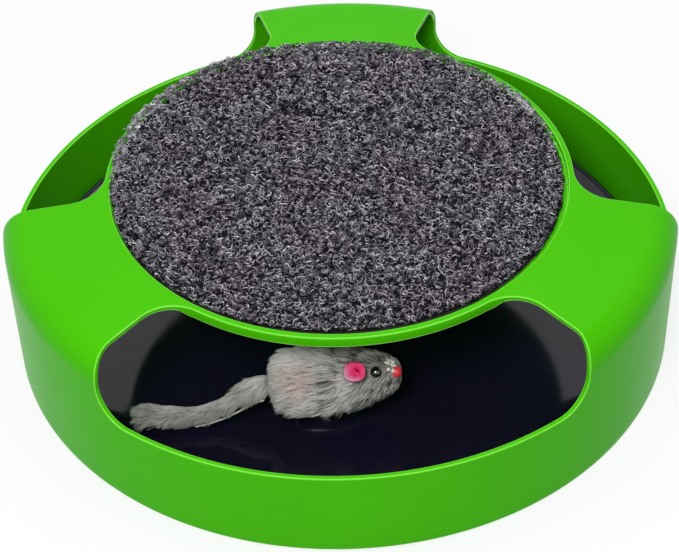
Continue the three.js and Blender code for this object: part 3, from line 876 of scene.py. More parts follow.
class Finish(Enum):
    """Every finish of the toy."""

    # Green plastic: its rounded edges get a painted highlight, and those that look down a painted glow.
    GREEN = MouldedPlastic(
        "green_plastic", srgb(77, 199, 4), srgb(71, 190, 3), 0.32, dust=0.03,
        dust_colour=srgb(150, 220, 110), shine=0.06, painted_edge_highlight=srgb(132, 240, 74),
        painted_low_edge_light=srgb(170, 240, 130),
    )
    GLOSS_BLACK = MouldedPlastic(
        "gloss_black_plastic", srgb(24, 21, 42), srgb(19, 17, 34), 0.09, grain=0.02, dust=0.2,
        dust_colour=srgb(90, 90, 105), shine=0.4,
    )
    PLAIN_BLACK = MouldedPlastic(
        "plain_black_plastic", srgb(34, 34, 38), srgb(26, 26, 30), 0.45, fineness=700.0, grain=0.2,
    )
    RUBBER = MouldedPlastic(
        "foot_rubber", srgb(44, 44, 46), srgb(34, 34, 36), 0.8, fineness=500.0, grain=0.3,
    )
    NYLON = MouldedPlastic(
        "natural_nylon", srgb(232, 229, 220), srgb(222, 218, 208), 0.42, fineness=500.0, grain=0.1,
    )
    ADHESIVE = MouldedPlastic(
        "glue_film", srgb(214, 206, 182), srgb(190, 180, 150), 0.5, fineness=220.0, grain=0.6,
    )
    PILE = FibreFinish(
        "carpet_fibre",
        (
            (0.0, srgb(12, 11, 14)), (0.25, srgb(44, 42, 48)), (0.5, srgb(118, 115, 123)),
            (0.75, srgb(191, 188, 196)), (1.0, srgb(252, 249, 255)),
        ),
        srgb(246, 232, 239), 34.0, roughness=0.6, sheen=0.0, shine=0.05,
    )
    # Carpet ground: a painted shade, as dark as the shade deep between the curls.
    PILE_GROUND_IN_PAINTED_SHADE = BrokenColour(
        "carpet_ground", srgb(30, 29, 33), srgb(9, 9, 11), 900.0, 0.8, sheen=0.0, shine=0.02,
    )
    BOARD = BrokenColour("backing_board", srgb(74, 70, 66), srgb(48, 45, 42), 500.0, 0.2)
    STEEL = BrokenColour(
        "zinc_plated_steel", (0.5, 0.52, 0.54, 1.0), (0.4, 0.416, 0.432, 1.0), 300.0, 0.02, 0.32,
        metallic=1.0, sheen=0.0, shine=0.5, bump_share=0.2, detail=5.0, stretch=(1.0, 1.0, 9.0),
    )
    CLEAR = Glossy("clear_plastic", (0.97, 0.98, 1.0, 1.0), 0.12, transmission=1.0, ior=1.14)
    FUR = FibreFinish(
        "mouse_fur",
        (
            (0.0, srgb(52, 50, 49)), (0.25, srgb(140, 138, 135)),
            (0.55, srgb(208, 206, 202)), (1.0, srgb(253, 251, 248)),
        ),
        srgb(250, 234, 233), tint_place=(-18.0, -74.0, 33.0), roughness=0.55, sheen=0.2,
    )
    SKIN = BrokenColour("mouse_skin", srgb(176, 166, 162), srgb(120, 114, 110), 600.0, 0.4)
    HIDE = BrokenColour("tail_hide", srgb(240, 237, 229), srgb(206, 200, 188), 500.0, 0.15)
    FELT = FibreFinish(
        "pink_felt",
        (
            (0.0, srgb(120, 6, 44)), (0.35, srgb(240, 46, 108)),
            (0.6, srgb(255, 92, 152)), (1.0, srgb(255, 162, 202)),
        ),
        srgb(236, 176, 198), 420.0, roughness=0.85, sheen=0.05, shine=0.2, bump_depth=0.3,
    )
    BEAD = Glossy("black_bead", srgb(8, 8, 10), 0.1, coat=0.8, ior=1.8)
    RED = Glossy("red_bead", srgb(244, 66, 80), 0.3)
    GLUE = Glossy("dried_glue", srgb(255, 252, 242), 0.2)


@cache
def drawn_up(finish: Finish) -> Material:
    """Draws up the material of a finish when it is first asked for.

    Args:
        finish: The finish.

    Returns:
        Its material.
    """
    sheet = MaterialSheet(finish.value.name)
    finish.value.draw(sheet)
    return sheet.material


def dress(piece: Piece, finish: Finish, body: Body, slot: str, *nodes: str) -> None:
    """Finishes a new piece.

    Args:
        piece: The piece.
        finish: Its finish.
        body: The body that it rides on.
        slot: The record's slot for its finish; not used.
        *nodes: The nodes of the frame that it stands for.
    """
    piece.data.materials.clear()
    piece.data.materials.append(drawn_up(finish))
    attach(piece, body.value)
    if nodes:
        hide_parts(*nodes)
    log.info("%s: %d faces on %s", piece.name, len(piece.data.polygons), body.value)


def dress_node(node: str, finish: Finish) -> None:
    """Gives a piece of the frame that is shown as it is a better material.

    Args:
        node: Name of the node.
        finish: Its finish.
    """
    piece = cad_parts[node]
    piece.data.materials.clear()
    piece.data.materials.append(drawn_up(finish))
    log.info("%s: kept from the frame", node)


# Cover


@dataclass(frozen=True)
class Window:
    """One window of the cover, from one azimuth to another."""

    start: float
    end: float
    start_inset: float
    end_inset: float


@dataclass
class Cover:
    """Moulded cover: wall, rounded shoulder, sloping top, ring and recess, with three windows."""

    shell_radius: float = 125.0
    wall_draft: float = 0.5
    wall: float = 1.9
    ground_clearance: float = 1.0
    shoulder_height: float = 51.0
    shoulder_radius: float = 12.0
    shoulder_steps: int = 59
    top_slope: float = 4.7
    top_steps: int = 40
    sill_height: float = 36.8
    sill_corner: float = 12.5
    ring_corner: float = 13.0
    ring_radius: float = 86.6
    ring_steps: int = 30
    recess_radius: float = 84.3
    recess_depth: float = 2.4
    recess_corner: float = 1.0
    recess_lean: float = 0.4
    platform: float = 1.9
    ring_foot: float = 86.7
    ring_foot_end: float = 88.2
    edge: float = 0.42
    smooth_angle: float = 50.0
    near_side: float = 9.0
    fine_turn: float = 0.5
    coarse_turn: float = 1.1
    below_sill: float = 8.0
    above_sill: float = 14.0
    near_ring: float = 16.0
    next_to_ring: float = 6.0
    spread_rounds: int = 400
    windows: tuple[Window, ...] = (
        Window(225.6, 313.4, 1.2, 1.8), Window(350.6, 430.3, 0.25, 0.25),
        Window(105.2, 185.0, 0.25, 0.25),
    )

    def __post_init__(self) -> None:
        """Works out the outer and inner profiles by the run along the outer one."""
        slope = math.radians(self.top_slope)
        centre = (self.shell_radius - self.shoulder_radius, self.shoulder_height)
        bow = (0.0, 90.0 - self.top_slope, self.shoulder_steps)
        foot = self.shell_radius - self.wall_draft
        outer = [(foot, self.ground_clearance), *arc(centre, self.shoulder_radius, *bow)]
        inner = [
            (foot - self.wall, self.ground_clearance),
            *arc(centre, self.shoulder_radius - self.wall, *bow),
        ]
        end_radius, end_height = outer[-1]
        shoulder_end = len(outer) - 1
        drop = self.wall / math.cos(slope)

        def top(radius: float) -> float:
            """Height of the top's outer face at a radius."""
            return end_height + (end_radius - radius) * math.tan(slope)

        floor = top(self.recess_radius) - self.recess_depth
        under = floor - self.platform
        for radius in np.linspace(end_radius, self.ring_foot_end, self.top_steps)[1:]:
            outer.append((radius, top(radius)))
            inner.append((radius, top(radius) - drop))
        upper = top(self.ring_foot_end) - drop
        for radius in np.linspace(self.ring_foot_end, self.recess_radius, self.ring_steps)[1:]:
            share = min(1.0, (self.ring_foot_end - radius) / (self.ring_foot_end - self.ring_foot))
            outer.append((radius, top(radius)))
            inner.append((radius, upper + (under - upper) * eased(share)))
        corner = self.recess_radius - self.recess_corner
        outer += [(self.recess_radius, floor), (corner, floor), (0, floor)]
        inner += [(self.recess_radius - self.recess_lean, under), (corner, under), (0, under)]
        self.outer = np.array(outer)
        self.inner = np.array(inner)
        self.run = np.concatenate([[0], np.cumsum(np.hypot(*np.diff(self.outer, axis=0).T))])
        self.shoulder_run = self.run[1]
        wall_height = self.shoulder_height - self.ground_clearance
        sill_share = (self.sill_height - self.ground_clearance) / wall_height
        self.sill_run = sill_share * self.shoulder_run
        self.top_run = self.run[shoulder_end]
        self.recess_run = self.run[-4]
        self.ring_run = self.recess_run - (self.ring_radius - self.recess_radius) / math.cos(slope)

    def azimuth(self, turn: Array, run: Array) -> Array:
        """Draws grid turns in beside each window, on the wall but not on the top.

        Args:
            turn: Grid turns.
            run: Runs along the profile.

        Returns:
            The azimuths.
        """
        knots = [k for w in self.windows for k in (w.start, (w.start + w.end) / 2, w.end)]
        shifts = [s for w in self.windows for s in (w.start_inset, 0.0, -w.end_inset)]
        order = np.argsort(np.mod(knots, FULL_TURN))
        knots, shifts = np.mod(knots, FULL_TURN)[order], np.array(shifts)[order]
        shift = np.interp(turn, knots, shifts, period=FULL_TURN)
        share = np.clip((run - self.shoulder_run) / (self.top_run - self.shoulder_run), 0, 1)
        return turn + shift * (1 - eased(share))

    def columns(self) -> Array:
        """Spreads the grid's columns, closer together beside the windows' sides.

        Returns:
            The turn of each column.
        """
        sides = sorted(np.mod([w for x in self.windows for w in (x.start, x.end)], FULL_TURN))
        beside = [side + away for side in sides for away in (-self.near_side, self.near_side)]
        knots = sorted({0.0, FULL_TURN, *sides, *beside})
        turns: list[float] = []
        for start, end in zip(knots, knots[1:]):
            middle = (start + end) / 2
            gaps = [abs((middle - side + HALF_TURN) % FULL_TURN - HALF_TURN) for side in sides]
            step = self.fine_turn if min(gaps) < self.near_side else self.coarse_turn
            turns += spaced(start, end, step)
        return np.array([*turns, FULL_TURN])

    def rows(self) -> Array:
        """Spreads the grid's rows, closer together at sill, shoulder and ring.

        Returns:
            The run of each row.
        """
        ends_and_steps = [
            (self.sill_run - self.below_sill, 3.0), (self.sill_run, 1.0),
            (self.sill_run + self.above_sill, 0.9), (self.shoulder_run, 1.4), (self.top_run, 0.55),
            (self.ring_run - self.near_ring, 1.8), (self.ring_run - self.next_to_ring, 0.8),
            (self.ring_run, 0.4), (self.recess_run, 0.75),
            (self.recess_run + self.recess_depth, 3.0), (self.run[-2], 1.0), (self.run[-1], 12.0),
        ]
        start = 0.0
        runs: list[float] = []
        for end, step in ends_and_steps:
            runs += spaced(start, end, step)
            start = end
        return np.array([*runs, start])

    def corner(self, run: float, away: int, share: float, radius: float) -> Span:
        """Finds a place on the arc of a window's corner.

        Args:
            run: Run of the window's sill or of the ring.
            away: 1 from the sill upwards, -1 from the ring downwards.
            share: Place on the arc, from -1 at the window's side to 1 at its sill or ring.
            radius: Radius of the arc.

        Returns:
            Its distance from the window's side in degrees, and from the sill or ring.
        """
        angle = math.radians(45 * (1 + share))
        along = radius * (1 - math.sin(angle))
        across = radius * (1 - math.cos(angle))
        reach = np.interp(run + away * along, self.run, self.outer[:, 0])
        return across / reach * math.degrees(1), along

    def rounded(self, turns: Array, runs: Array) -> tuple[Array, Array]:
        """Draws the windows' corners of the grid onto their arcs.

        Args:
            turns: Turn of each column.
            runs: Run of each row.

        Returns:
            The moved turn and run of every vertex, as arrays of rows by columns.
        """
        turn = np.tile(turns, (len(runs), 1))
        run = np.tile(runs[:, None], (1, len(turns)))
        shift = np.zeros(turn.shape + (2,))
        held = np.zeros(turn.shape, bool)
        held[runs >= self.recess_run - SAME_PLACE] = True
        held[0] = True
        low = int(np.argmin(abs(runs - self.sill_run)))
        high = int(np.argmin(abs(runs - self.ring_run)))
        for window in self.windows:
            width = (window.end - window.start) / 2
            for edge, inward in ((window.start, 1), (window.end, -1)):
                side = int(np.argmin(abs(turns - edge % FULL_TURN)))
                held[low : high + 1, side] = True
                steps = np.mod((turns - edge) * inward, FULL_TURN)
                for row, radius, away in ((low, self.sill_corner, 1), (high, self.ring_corner, -1)):
                    for other in range(low, high + 1):
                        gap = abs(runs[other] - runs[row])
                        if gap < radius:
                            across, along = self.corner(runs[row], away, -gap / radius, radius)
                            shift[other, side] = (inward * across, away * (along - gap))
                    reach = np.interp(runs[row], self.run, self.outer[:, 0])
                    for other in np.nonzero(steps <= width + SAME_PLACE)[0]:
                        held[row, other] = True
                        gap = steps[other] * reach / math.degrees(1)
                        if 0 < gap < radius:
                            across, along = self.corner(runs[row], away, gap / radius, radius)
                            shift[row, other] = (inward * (across - steps[other]), away * along)
        shift[:, -1] = np.where(held[:, -1:], shift[:, -1], shift[:, 0])
        for _ in range(self.spread_rounds):
            ring = np.concatenate([shift[:, -2:-1], shift, shift[:, 1:2]], axis=1)
            mean = (ring[:, :-2] + ring[:, 2:]) / 4
            mean[1:-1] += (shift[:-2] + shift[2:]) / 4
            mean[[0, -1]] = 0
            shift = np.where(held[..., None], shift, mean)
        return turn + shift[..., 0], run + shift[..., 1]

    def in_window(self, turn: float, run: float) -> bool:
        """Whether a place between grid lines lies in a window."""
        wide = any((turn - w.start) % FULL_TURN < w.end - w.start for w in self.windows)
        return wide and self.sill_run < run < self.ring_run

    def spots(self, turn: Array, run: Array, profile: Array) -> Array:
        """Rolls grid places onto a profile.

        Args:
            turn: Grid turns.
            run: Runs along the outer profile.
            profile: The outer or the inner profile.

        Returns:
            The places, in metres.
        """
        angle = np.radians(self.azimuth(turn, run))
        radius = np.interp(run, self.run, profile[:, 0])
        height = np.interp(run, self.run, profile[:, 1])
        return np.stack([radius * np.cos(angle), radius * np.sin(angle), height], axis=-1) * MM

    def shell(self) -> Piece:
        """Rolls a flat grid into the cover, opens its windows and gives it its wall.

        Returns:
            The piece, still without its name and its rounded edges.
        """
        turns, runs = self.columns(), self.rows()
        across, up = len(turns) - 1, len(runs) - 1
        piece = started(
            bpy.ops.mesh.primitive_grid_add, x_subdivisions=across, y_subdivisions=up, size=1
        )
        flat = places(piece)
        column = np.rint((flat[:, 0] + 0.5) * across).astype(int)
        cell = (np.rint((flat[:, 1] + 0.5) * up).astype(int), column)
        moved = dict(zip(("turn", "run"), self.rounded(turns, runs)))
        for title, values in moved.items():
            mark(piece.data, title, values[cell])
        middles = np.array([face.center for face in piece.data.polygons]) + 0.5
        face_turns = np.interp(middles[:, 0] * across, np.arange(len(turns)), turns)
        face_runs = np.interp(middles[:, 1] * up, np.arange(len(runs)), runs)
        put(piece, self.spots(moved["turn"][cell], moved["run"][cell], self.outer))
        pick(piece, [self.in_window(*spot) for spot in zip(face_turns, face_runs)], "FACE")
        bpy.ops.mesh.delete(type="FACE")
        tidy_faces()
        count = len(piece.data.vertices)
        modify(piece, "SOLIDIFY", thickness=self.wall * MM, offset=-1)
        points = places(piece)
        inside = np.arange(len(points)) >= count
        for title in moved:
            moved[title] = np.empty(len(points), np.float32)
            piece.data.attributes[title].data.foreach_get("value", moved[title])
        points[inside] = self.spots(moved["turn"][inside], moved["run"][inside], self.inner)
        put(piece, points)
        return piece

    def build(self) -> None:
        """Models the cover and dresses it."""
        piece = self.shell()
        settle(piece, "moulded_cover")
        bevel(piece, self.edge, marked=True)
        smooth(piece, self.smooth_angle)
        dress(piece, Finish.GREEN, Body.HOUSING, "green_plastic", "top_cover")


# Dish and base


@dataclass
class Dish:
    """Spinning dish: hub, flat floor, curved rim and rolled lip."""

    radius: float = 120.5
    underside: float = 4.8
    floor_top: float = 6.6
    thickness: float = 1.8
    flat_radius: float = 100.0
    rim_steps: int = 16
    rim_top: float = 12.0
    lip: float = 0.9
    lip_start: float = 160.0
    lip_foot: float = 1.0
    hub_inner: float = 9.1
    hub_outer: float = 12.0
    hub_top: float = 13.6
    hub_inner_edge: float = 0.4
    hub_outer_edge: float = 0.5
    fillet: float = 2.2
    floor_rings: Span = (40.0, 60.0)
    underside_rings: Span = (60.0, 30.0)
    segments: int = 220
    smooth_angle: float = 40.0

    def height_at(self, radius: float) -> float:
        """Height of the dish's upper face at a radius."""
        share = max(0.0, (radius - self.flat_radius) / (self.radius - 2 * self.lip - self.flat_radius))
        return self.floor_top + (self.rim_top - self.lip - self.floor_top) * share**2

    def build(self) -> None:
        """Models the dish and dresses it."""
        swept = np.linspace(self.flat_radius, self.radius - 2 * self.lip, self.rim_steps)
        fillet_centre = (self.hub_outer + self.fillet, self.floor_top + self.fillet)
        lip_centre = (self.radius - self.lip, self.rim_top - self.lip)
        profile = [
            (self.hub_inner, self.underside),
            (self.hub_inner, self.hub_top - self.hub_inner_edge),
            (self.hub_inner + self.hub_inner_edge, self.hub_top),
            (self.hub_outer - self.hub_outer_edge, self.hub_top),
            (self.hub_outer, self.hub_top - self.hub_outer_edge),
            *arc(fillet_centre, self.fillet, 180, 270, 5),
            *[(radius, self.floor_top) for radius in self.floor_rings],
            *[(radius, self.height_at(radius)) for radius in swept],
            *arc(lip_centre, self.lip, self.lip_start, 0, 7),
            (self.radius, self.rim_top - self.lip - self.lip_foot),
            *[(radius, self.height_at(radius) - self.thickness) for radius in swept[::-1]],
            *[(radius, self.underside) for radius in self.underside_rings],
        ]
        piece = turned("glossy_dish", profile, self.segments, loop=True)
        smooth(piece, self.smooth_angle)
        dress(piece, Finish.GLOSS_BLACK, Body.SPINNER, "black_gloss", "turntable")


@dataclass
class Base:
    """Base plate, feet, screws, bearing and pad backing, kept from the frame."""

    count: int = 4

    def build(self) -> None:
        """Dresses the pieces that lie out of sight."""
        dress_node("base_plate", Finish.PLAIN_BLACK)
        for number in range(1, self.count + 1):
            dress_node(f"rubber_foot_{number}", Finish.RUBBER)
            dress_node(f"cover_screw_{number}", Finish.STEEL)
        for node in ("retaining_washer", "spindle_screw", "clip_screw"):
            dress_node(node, Finish.STEEL)
        for node in ("thrust_washer", "hub_bush", "mouse_core"):
            dress_node(node, Finish.NYLON)
        dress_node("pad_adhesive", Finish.ADHESIVE)
        dress_node("pad_backing", Finish.BOARD)


# Scratching pad


@dataclass
class Pad:
    """Round carpet pad: a lumpy ground under a dense cover of curled fibres."""

    radius: float = 83.3
    shift: float = -0.6
    bottom: float = 64.32
    top: float = 66.32
    ground_profile: tuple[Span, ...] = ((-1.0, 0.0), (-0.6, 0.2), (-0.7, 0.65))
    ground_drop: float = 1.05
    ground_rings: tuple[float, float, int] = (-1.5, 1.2, 70)
    ground_lumps: Span = (1.6, 0.3)
    least_ground: float = 0.02
    segments: int = 240
    curls: int = 26600
    parts: int = 7
    steps: int = 8
    length: Span = (2.7, 5.6)
    thickness: Span = (0.115, 0.205)
    depth: float = 1.3
    swell_most: float = 0.7
    swell_start: float = 45.0
    swell_run: float = 35.0
    bend: Span = (310.0, 120.0)
    wobble_most: float = 80.0
    rise: Span = (0.45, 1.3)
    lift_middle: float = 0.55
    lift_swing: float = 0.45
    edge_width: float = 1.6
    edge_most: float = 1.2
    edge_drop: float = 1.1
    front_to_back: Curve = ((-1.0, 0.0, 1.0), (-0.8, -0.1, 0.8))
    edge_scatter: float = 0.25
    ring_top: float = 65.45
    over_ring: Span = (0.25, 0.4)
    ring_start: float = 0.7
    spill_most: float = 3.7
    spill_left: Knots = (133.0, 38.0, 1.0)
    spill_right: Knots = (56.0, 34.0, 0.6)
    spilt_inwards: float = 2.7
    fuzz_share: float = 0.02
    fuzz_turn: Span = (116.0, 40.0)
    fuzz_reach: Span = (-2.0, 0.5)
    fuzz_bend: float = 0.5
    stray_start: float = 0.4
    stray_spill: float = 1.05
    stray_reach: Span = (-0.3, 0.6)
    tone_spread: Span = (1.1, 1.6)
    tone_share: float = 0.72
    # Painted shade: how much lighter a curl is, the higher it stands in the pile.
    painted_pile_shade: float = 0.52
    tone_base: float = -0.08
    tone_outside: float = 0.16
    dark_outside: float = 0.8
    light_outside: Knots = (1.1, 2.5, 1.6)
    taper: Curve = ((0.0, 0.15, 0.7, 1.0), (0.7, 1.0, 0.95, 0.35))
    seed: int = 7

    def ground(self) -> None:
        """Models the matted ground that the curls stand in, as dark as painted shade between the curls.
        """
        inset, middle, count = self.ground_rings
        rings = np.linspace(self.radius + inset, middle, count)
        profile = [(self.radius + out, self.bottom + up) for out, up in self.ground_profile]
        profile += [(ring, self.top - self.ground_drop) for ring in rings]
        piece = turned("carpet_ground", profile, self.segments)
        lumpy(piece, *self.ground_lumps)
        points = places(piece)
        points[:, 2] = np.maximum(points[:, 2], (self.bottom + self.least_ground) * MM)
        points[:, 0] += self.shift * MM
        put(piece, points)
        smooth(piece)
        dress(piece, Finish.PILE_GROUND_IN_PAINTED_SHADE, Body.HOUSING, "carpet", "carpet_pile")

    def swell(self, depth: Array) -> Array:
        """How much higher the pile stands towards the back of the pad."""
        return self.swell_most * np.clip((depth - self.swell_start) / self.swell_run, 0, 1)

    def spill(self, turn: Array) -> Array:
        """Finds how far the pile spills over the ring, in clumps at the back.

        Args:
            turn: Azimuths, in radians.

        Returns:
            The spill at each one.
        """
        clumps = 0.78 + 0.2 * np.sin(turn * 41) * np.sin(turn * 17 + 1) + 0.14 * np.sin(turn * 73 + 2)
        share = np.zeros_like(turn)
        for middle, width, most in (self.spill_left, self.spill_right):
            share += most * np.exp(-(((np.degrees(turn) - middle) / width) ** 4))
        return self.spill_most * np.clip(share, 0, 1) * clumps

    def curl_lines(self, draw: Draws, count: int) -> Array:
        """Lays one lot of curls.

        Args:
            draw: The random draws.
            count: Number of curls.

        Returns:
            The middle of each curl at each step: curls by steps by 3.
        """
        fuzz = draw.uniform(0, 1, count) < self.fuzz_share
        turn = draw.uniform(0, WHOLE_ROUND, count)
        fuzz_middle, fuzz_spread = self.fuzz_turn
        turn = np.where(fuzz, np.radians(fuzz_middle + draw.normal(0, fuzz_spread, count)), turn)
        spill = self.spill(turn)
        reach = (self.radius + spill) * np.sqrt(draw.uniform(0, 1, count))
        reach = np.where(fuzz, self.radius + spill + draw.uniform(*self.fuzz_reach, count), reach)
        middle = np.stack([reach * np.cos(turn), reach * np.sin(turn)], axis=1)
        length = draw.uniform(*self.length, count)
        bend = np.radians(draw.choice([-1, 1], count) * draw.normal(*self.bend, count))
        bend *= np.where(fuzz, self.fuzz_bend, 1.0)
        wobble = np.radians(draw.uniform(0, self.wobble_most, count))
        phase = draw.uniform(0, WHOLE_ROUND, count)
        share = np.linspace(0, 1, self.steps + 1)
        heading = (
            draw.uniform(0, WHOLE_ROUND, count)[:, None] + bend[:, None] * share
            + wobble[:, None] * np.sin(WHOLE_ROUND * share + phase[:, None])
        )
        step = (length / self.steps)[:, None]
        flat = np.stack(
            [np.cumsum(np.cos(heading) * step, 1), np.cumsum(np.sin(heading) * step, 1)], axis=2
        )
        flat += (middle - flat.mean(axis=1))[:, None]
        back = np.interp(np.sin(turn), *self.front_to_back)
        strays = self.stray_start + self.stray_spill * spill + draw.uniform(*self.stray_reach, count)
        beyond = np.where(fuzz, strays, draw.normal(0.0, self.edge_scatter, count) + back + spill)
        far = np.maximum(np.linalg.norm(flat, axis=2), SAME_PLACE)
        flat *= np.minimum(1, (self.radius + beyond)[:, None] / far)[..., None]
        far = np.linalg.norm(flat, axis=2)
        edge = np.clip((far - (self.radius - self.edge_width)) / self.edge_width, 0, self.edge_most)
        rise = draw.uniform(*self.rise, count)[:, None]
        start = draw.uniform(0, WHOLE_ROUND, count)[:, None]
        lift = (self.lift_middle - self.lift_swing * np.cos(WHOLE_ROUND * share + start)) * rise
        height = self.top - self.depth + lift + self.swell(flat[..., 1])
        full = np.clip(spill, 0, 1)[:, None]
        base, share_of_rise = self.over_ring
        over = np.maximum(height, self.ring_top + base + share_of_rise * rise)
        spilt = fuzz[:, None] | (far > self.radius + self.ring_start - self.spilt_inwards * full)
        height = np.where(spilt, over, height - self.edge_drop * (1 - full) * edge**2)
        flat[..., 0] += self.shift
        return np.concatenate([flat, height[..., None]], axis=2)

    def curl_tones(self, draw: Draws, lines: Array) -> Array:
        """Picks the tones of one lot of curls.

        Args:
            draw: The random draws.
            lines: Their middles at each step.

        Returns:
            A tone from 0 to 1 for each curl at each step: lighter where it stands higher, a painted
            shade deep in the pile.
        """
        tone = draw.beta(*self.tone_spread, len(lines))[:, None]
        height = lines[..., 2] - self.swell(lines[..., 1]) - (self.top - self.depth)
        outer = (np.linalg.norm(lines[..., :2], axis=2) - self.radius) / self.dark_outside
        share, run, most = self.light_outside
        outer = np.clip(outer, 0, 1) - share * np.clip((outer - 1.0) / run, 0, most)
        # Painted shade: the tone rises with height, so curls are dark deep in the pile and light at
        # their crests.
        tones = tone * self.tone_share + self.painted_pile_shade * (height / self.depth)
        return np.clip(tones + self.tone_base - self.tone_outside * outer, 0, 1)

    def build(self) -> None:
        """Models the ground and the curls, and dresses them."""
        self.ground()
        fibre = Fibre(self.steps)
        draw = np.random.default_rng(self.seed)
        count = self.curls // self.parts
        taper = np.interp(np.linspace(0, 1, self.steps + 1), *self.taper)
        for part in range(1, self.parts + 1):
            lines = self.curl_lines(draw, count)
            radii = draw.uniform(*self.thickness, count)[:, None] * taper
            tones = self.curl_tones(draw, lines)
            upright = np.tile([0.0, 0.0, 1.0], (count, 1))
            piece = fibre.scatter(f"carpet_curls_{part}", lines, upright, radii, tones)
            dress(piece, Finish.PILE, Body.HOUSING, "carpet")


# Mouse


def grouped(cells: Array) -> Array:
    """Number of the group of each row, where equal rows are a group."""
    _, group = np.unique(cells, axis=0, return_inverse=True)
    return group.ravel()


@dataclass
class MouseForm:
    """Skins of the mouse and the outline of its fur, in a frame of its own.

    +X points to the nose, and the origin is at the middle of the body.

    A row of a form holds its place as a share of the length, its girth and its lift.
    """

    place: Place = (-5.0, -65.6, 24.4)
    yaw: float = 1.5
    length: float = 50.0
    half_width: float = 12.2
    half_height: float = 13.0
    body_rows: Rows = (
        (-0.5, 0.12, 0.04), (-0.485, 0.45, 0.05), (-0.45, 0.74, 0.06), (-0.39, 0.93, 0.07),
        (-0.3, 1.03, 0.07), (-0.16, 1.04, 0.06), (0.0, 0.99, 0.03), (0.08, 0.86, 0.01),
        (0.14, 0.62, 0.0), (0.17, 0.3, 0.0),
    )
    head_rows: Rows = (
        (0.02, 0.55, 0.0), (0.07, 0.92, 0.03), (0.14, 0.975, 0.05), (0.22, 0.9, 0.08),
        (0.3, 0.8, 0.11), (0.38, 0.68, 0.13), (0.44, 0.53, 0.16), (0.48, 0.38, 0.19),
        (0.5, 0.16, 0.2),
    )
    table_steps: int = 160
    table_rounds: int = 10
    rear_cut: float = 3.6
    rear_end: float = -0.2
    thinnest: float = 0.02
    fur_knots: Knots = (-25.0, -18.0, 0.0, 6.0, 14.0, 22.0, 25.0)
    fur_lengths: Knots = (3.6, 5.6, 6.6, 4.8, 3.4, 2.0, 1.2)
    skin_depths: Knots = (1.7, 2.0, 2.1, 1.8, 1.3, 0.8, 0.4)
    skin_segments: int = 56
    skin_rings: int = 40
    skin_lumps: Span = (2.0, 0.12)
    skin_smooth_angle: float = 80.0
    pole: float = 0.9999
    eye_radius: float = 2.1
    eye_forward: float = 15.6
    right_eye_degrees: float = 52.0
    left_eye_degrees: float = 18.0
    eye_clearing: float = 0.05
    eye_clearing_sink: float = 0.3
    ear_forward: float = 8.0
    ear_degrees: float = 53.0
    ear_clearing: float = 3.3
    ear_clearing_rise: float = 2.4
    nose_place: Place = (22.9, -2.7, 5.9)
    nose_radius: float = 2.25
    nose_clearing: float = 0.1
    nose_clearing_shift: Place = (2.1, -0.3, 0.0)
    seed: int = 23

    def world(self, points: Array) -> Array:
        """Places of the mouse's own frame in the toy's frame."""
        turn = np.array(Matrix.Rotation(math.radians(self.yaw), 3, "Z"))
        return points @ turn.T + np.array(self.place)

    def table(self, rows: Rows) -> tuple[Array, Array, Array]:
        """Smooths the rows of a form into a profile.

        Args:
            rows: The form's rows.

        Returns:
            Its places along X, its girths and its lifts.
        """
        share, girth, lift = np.array(rows).T
        fine = np.linspace(share[0], share[-1], self.table_steps)
        girths = softened(np.interp(fine, share, girth), self.table_rounds)
        lifts = softened(np.interp(fine, share, lift), self.table_rounds)
        rear = np.clip((self.rear_end - fine) / (self.rear_end - self.body_rows[0][0]), 0, 1)
        return fine * self.length + self.rear_cut * rear, girths, lifts * self.half_height

    def on_form(
        self, rows: Rows, along: Array, turn: Array, sink: Array | float = 0.0
    ) -> tuple[Array, Array, Array]:
        """Finds places on the fur's outline of a form.

        Args:
            rows: The form's rows.
            along: Distances along X.
            turn: Angles round X from +Y up, in radians.
            sink: How far below the outline.

        Returns:
            The places, their outward directions and their directions back along the form.
        """
        x, girth, lift = self.table(rows)
        size = np.interp(along, x, girth)
        rise = np.interp(along, x, np.gradient(girth, x)) * self.half_width
        wide = np.maximum(size * self.half_width - sink, self.thinnest)
        tall = np.maximum(size * self.half_height - sink, self.thinnest)
        height = np.interp(along, x, lift) + tall * np.sin(turn)
        spots = np.stack([along, wide * np.cos(turn), height], axis=-1)
        outward = np.stack([-rise, np.cos(turn), np.sin(turn)], axis=-1)
        back = np.stack([-np.ones_like(rise), -rise * np.cos(turn), -rise * np.sin(turn)], axis=-1)
        return spots, unit(outward), unit(back)

    def skin_depth(self, along: Array) -> Array:
        """How far the skin lies below the fur's outline at distances along X."""
        return np.interp(along, self.fur_knots, self.skin_depths)

    def on_head(self, forward: float, degrees: float, side: Side) -> tuple[Array, Array]:
        """Finds a place on the head's fur.

        Args:
            forward: Distance along X.
            degrees: Angle up from the side.
            side: Side of the head.

        Returns:
            The place and its direction out.
        """
        angle = math.radians(degrees if side is Side.LEFT else HALF_TURN - degrees)
        spot, _, _ = self.on_form(self.head_rows, np.array([forward]), np.array([angle]))
        return spot[0], np.array([0.0, math.cos(angle), math.sin(angle)])

    def eye_spot(self, side: Side) -> tuple[Array, Array]:
        """Place of an eye on the head's fur, with its direction out."""
        degrees = self.right_eye_degrees if side is Side.RIGHT else self.left_eye_degrees
        return self.on_head(self.eye_forward, degrees, side)

    def ear_spot(self, side: Side) -> tuple[Array, Array]:
        """Place of an ear on the head's fur, with its direction out."""
        return self.on_head(self.ear_forward, self.ear_degrees, side)

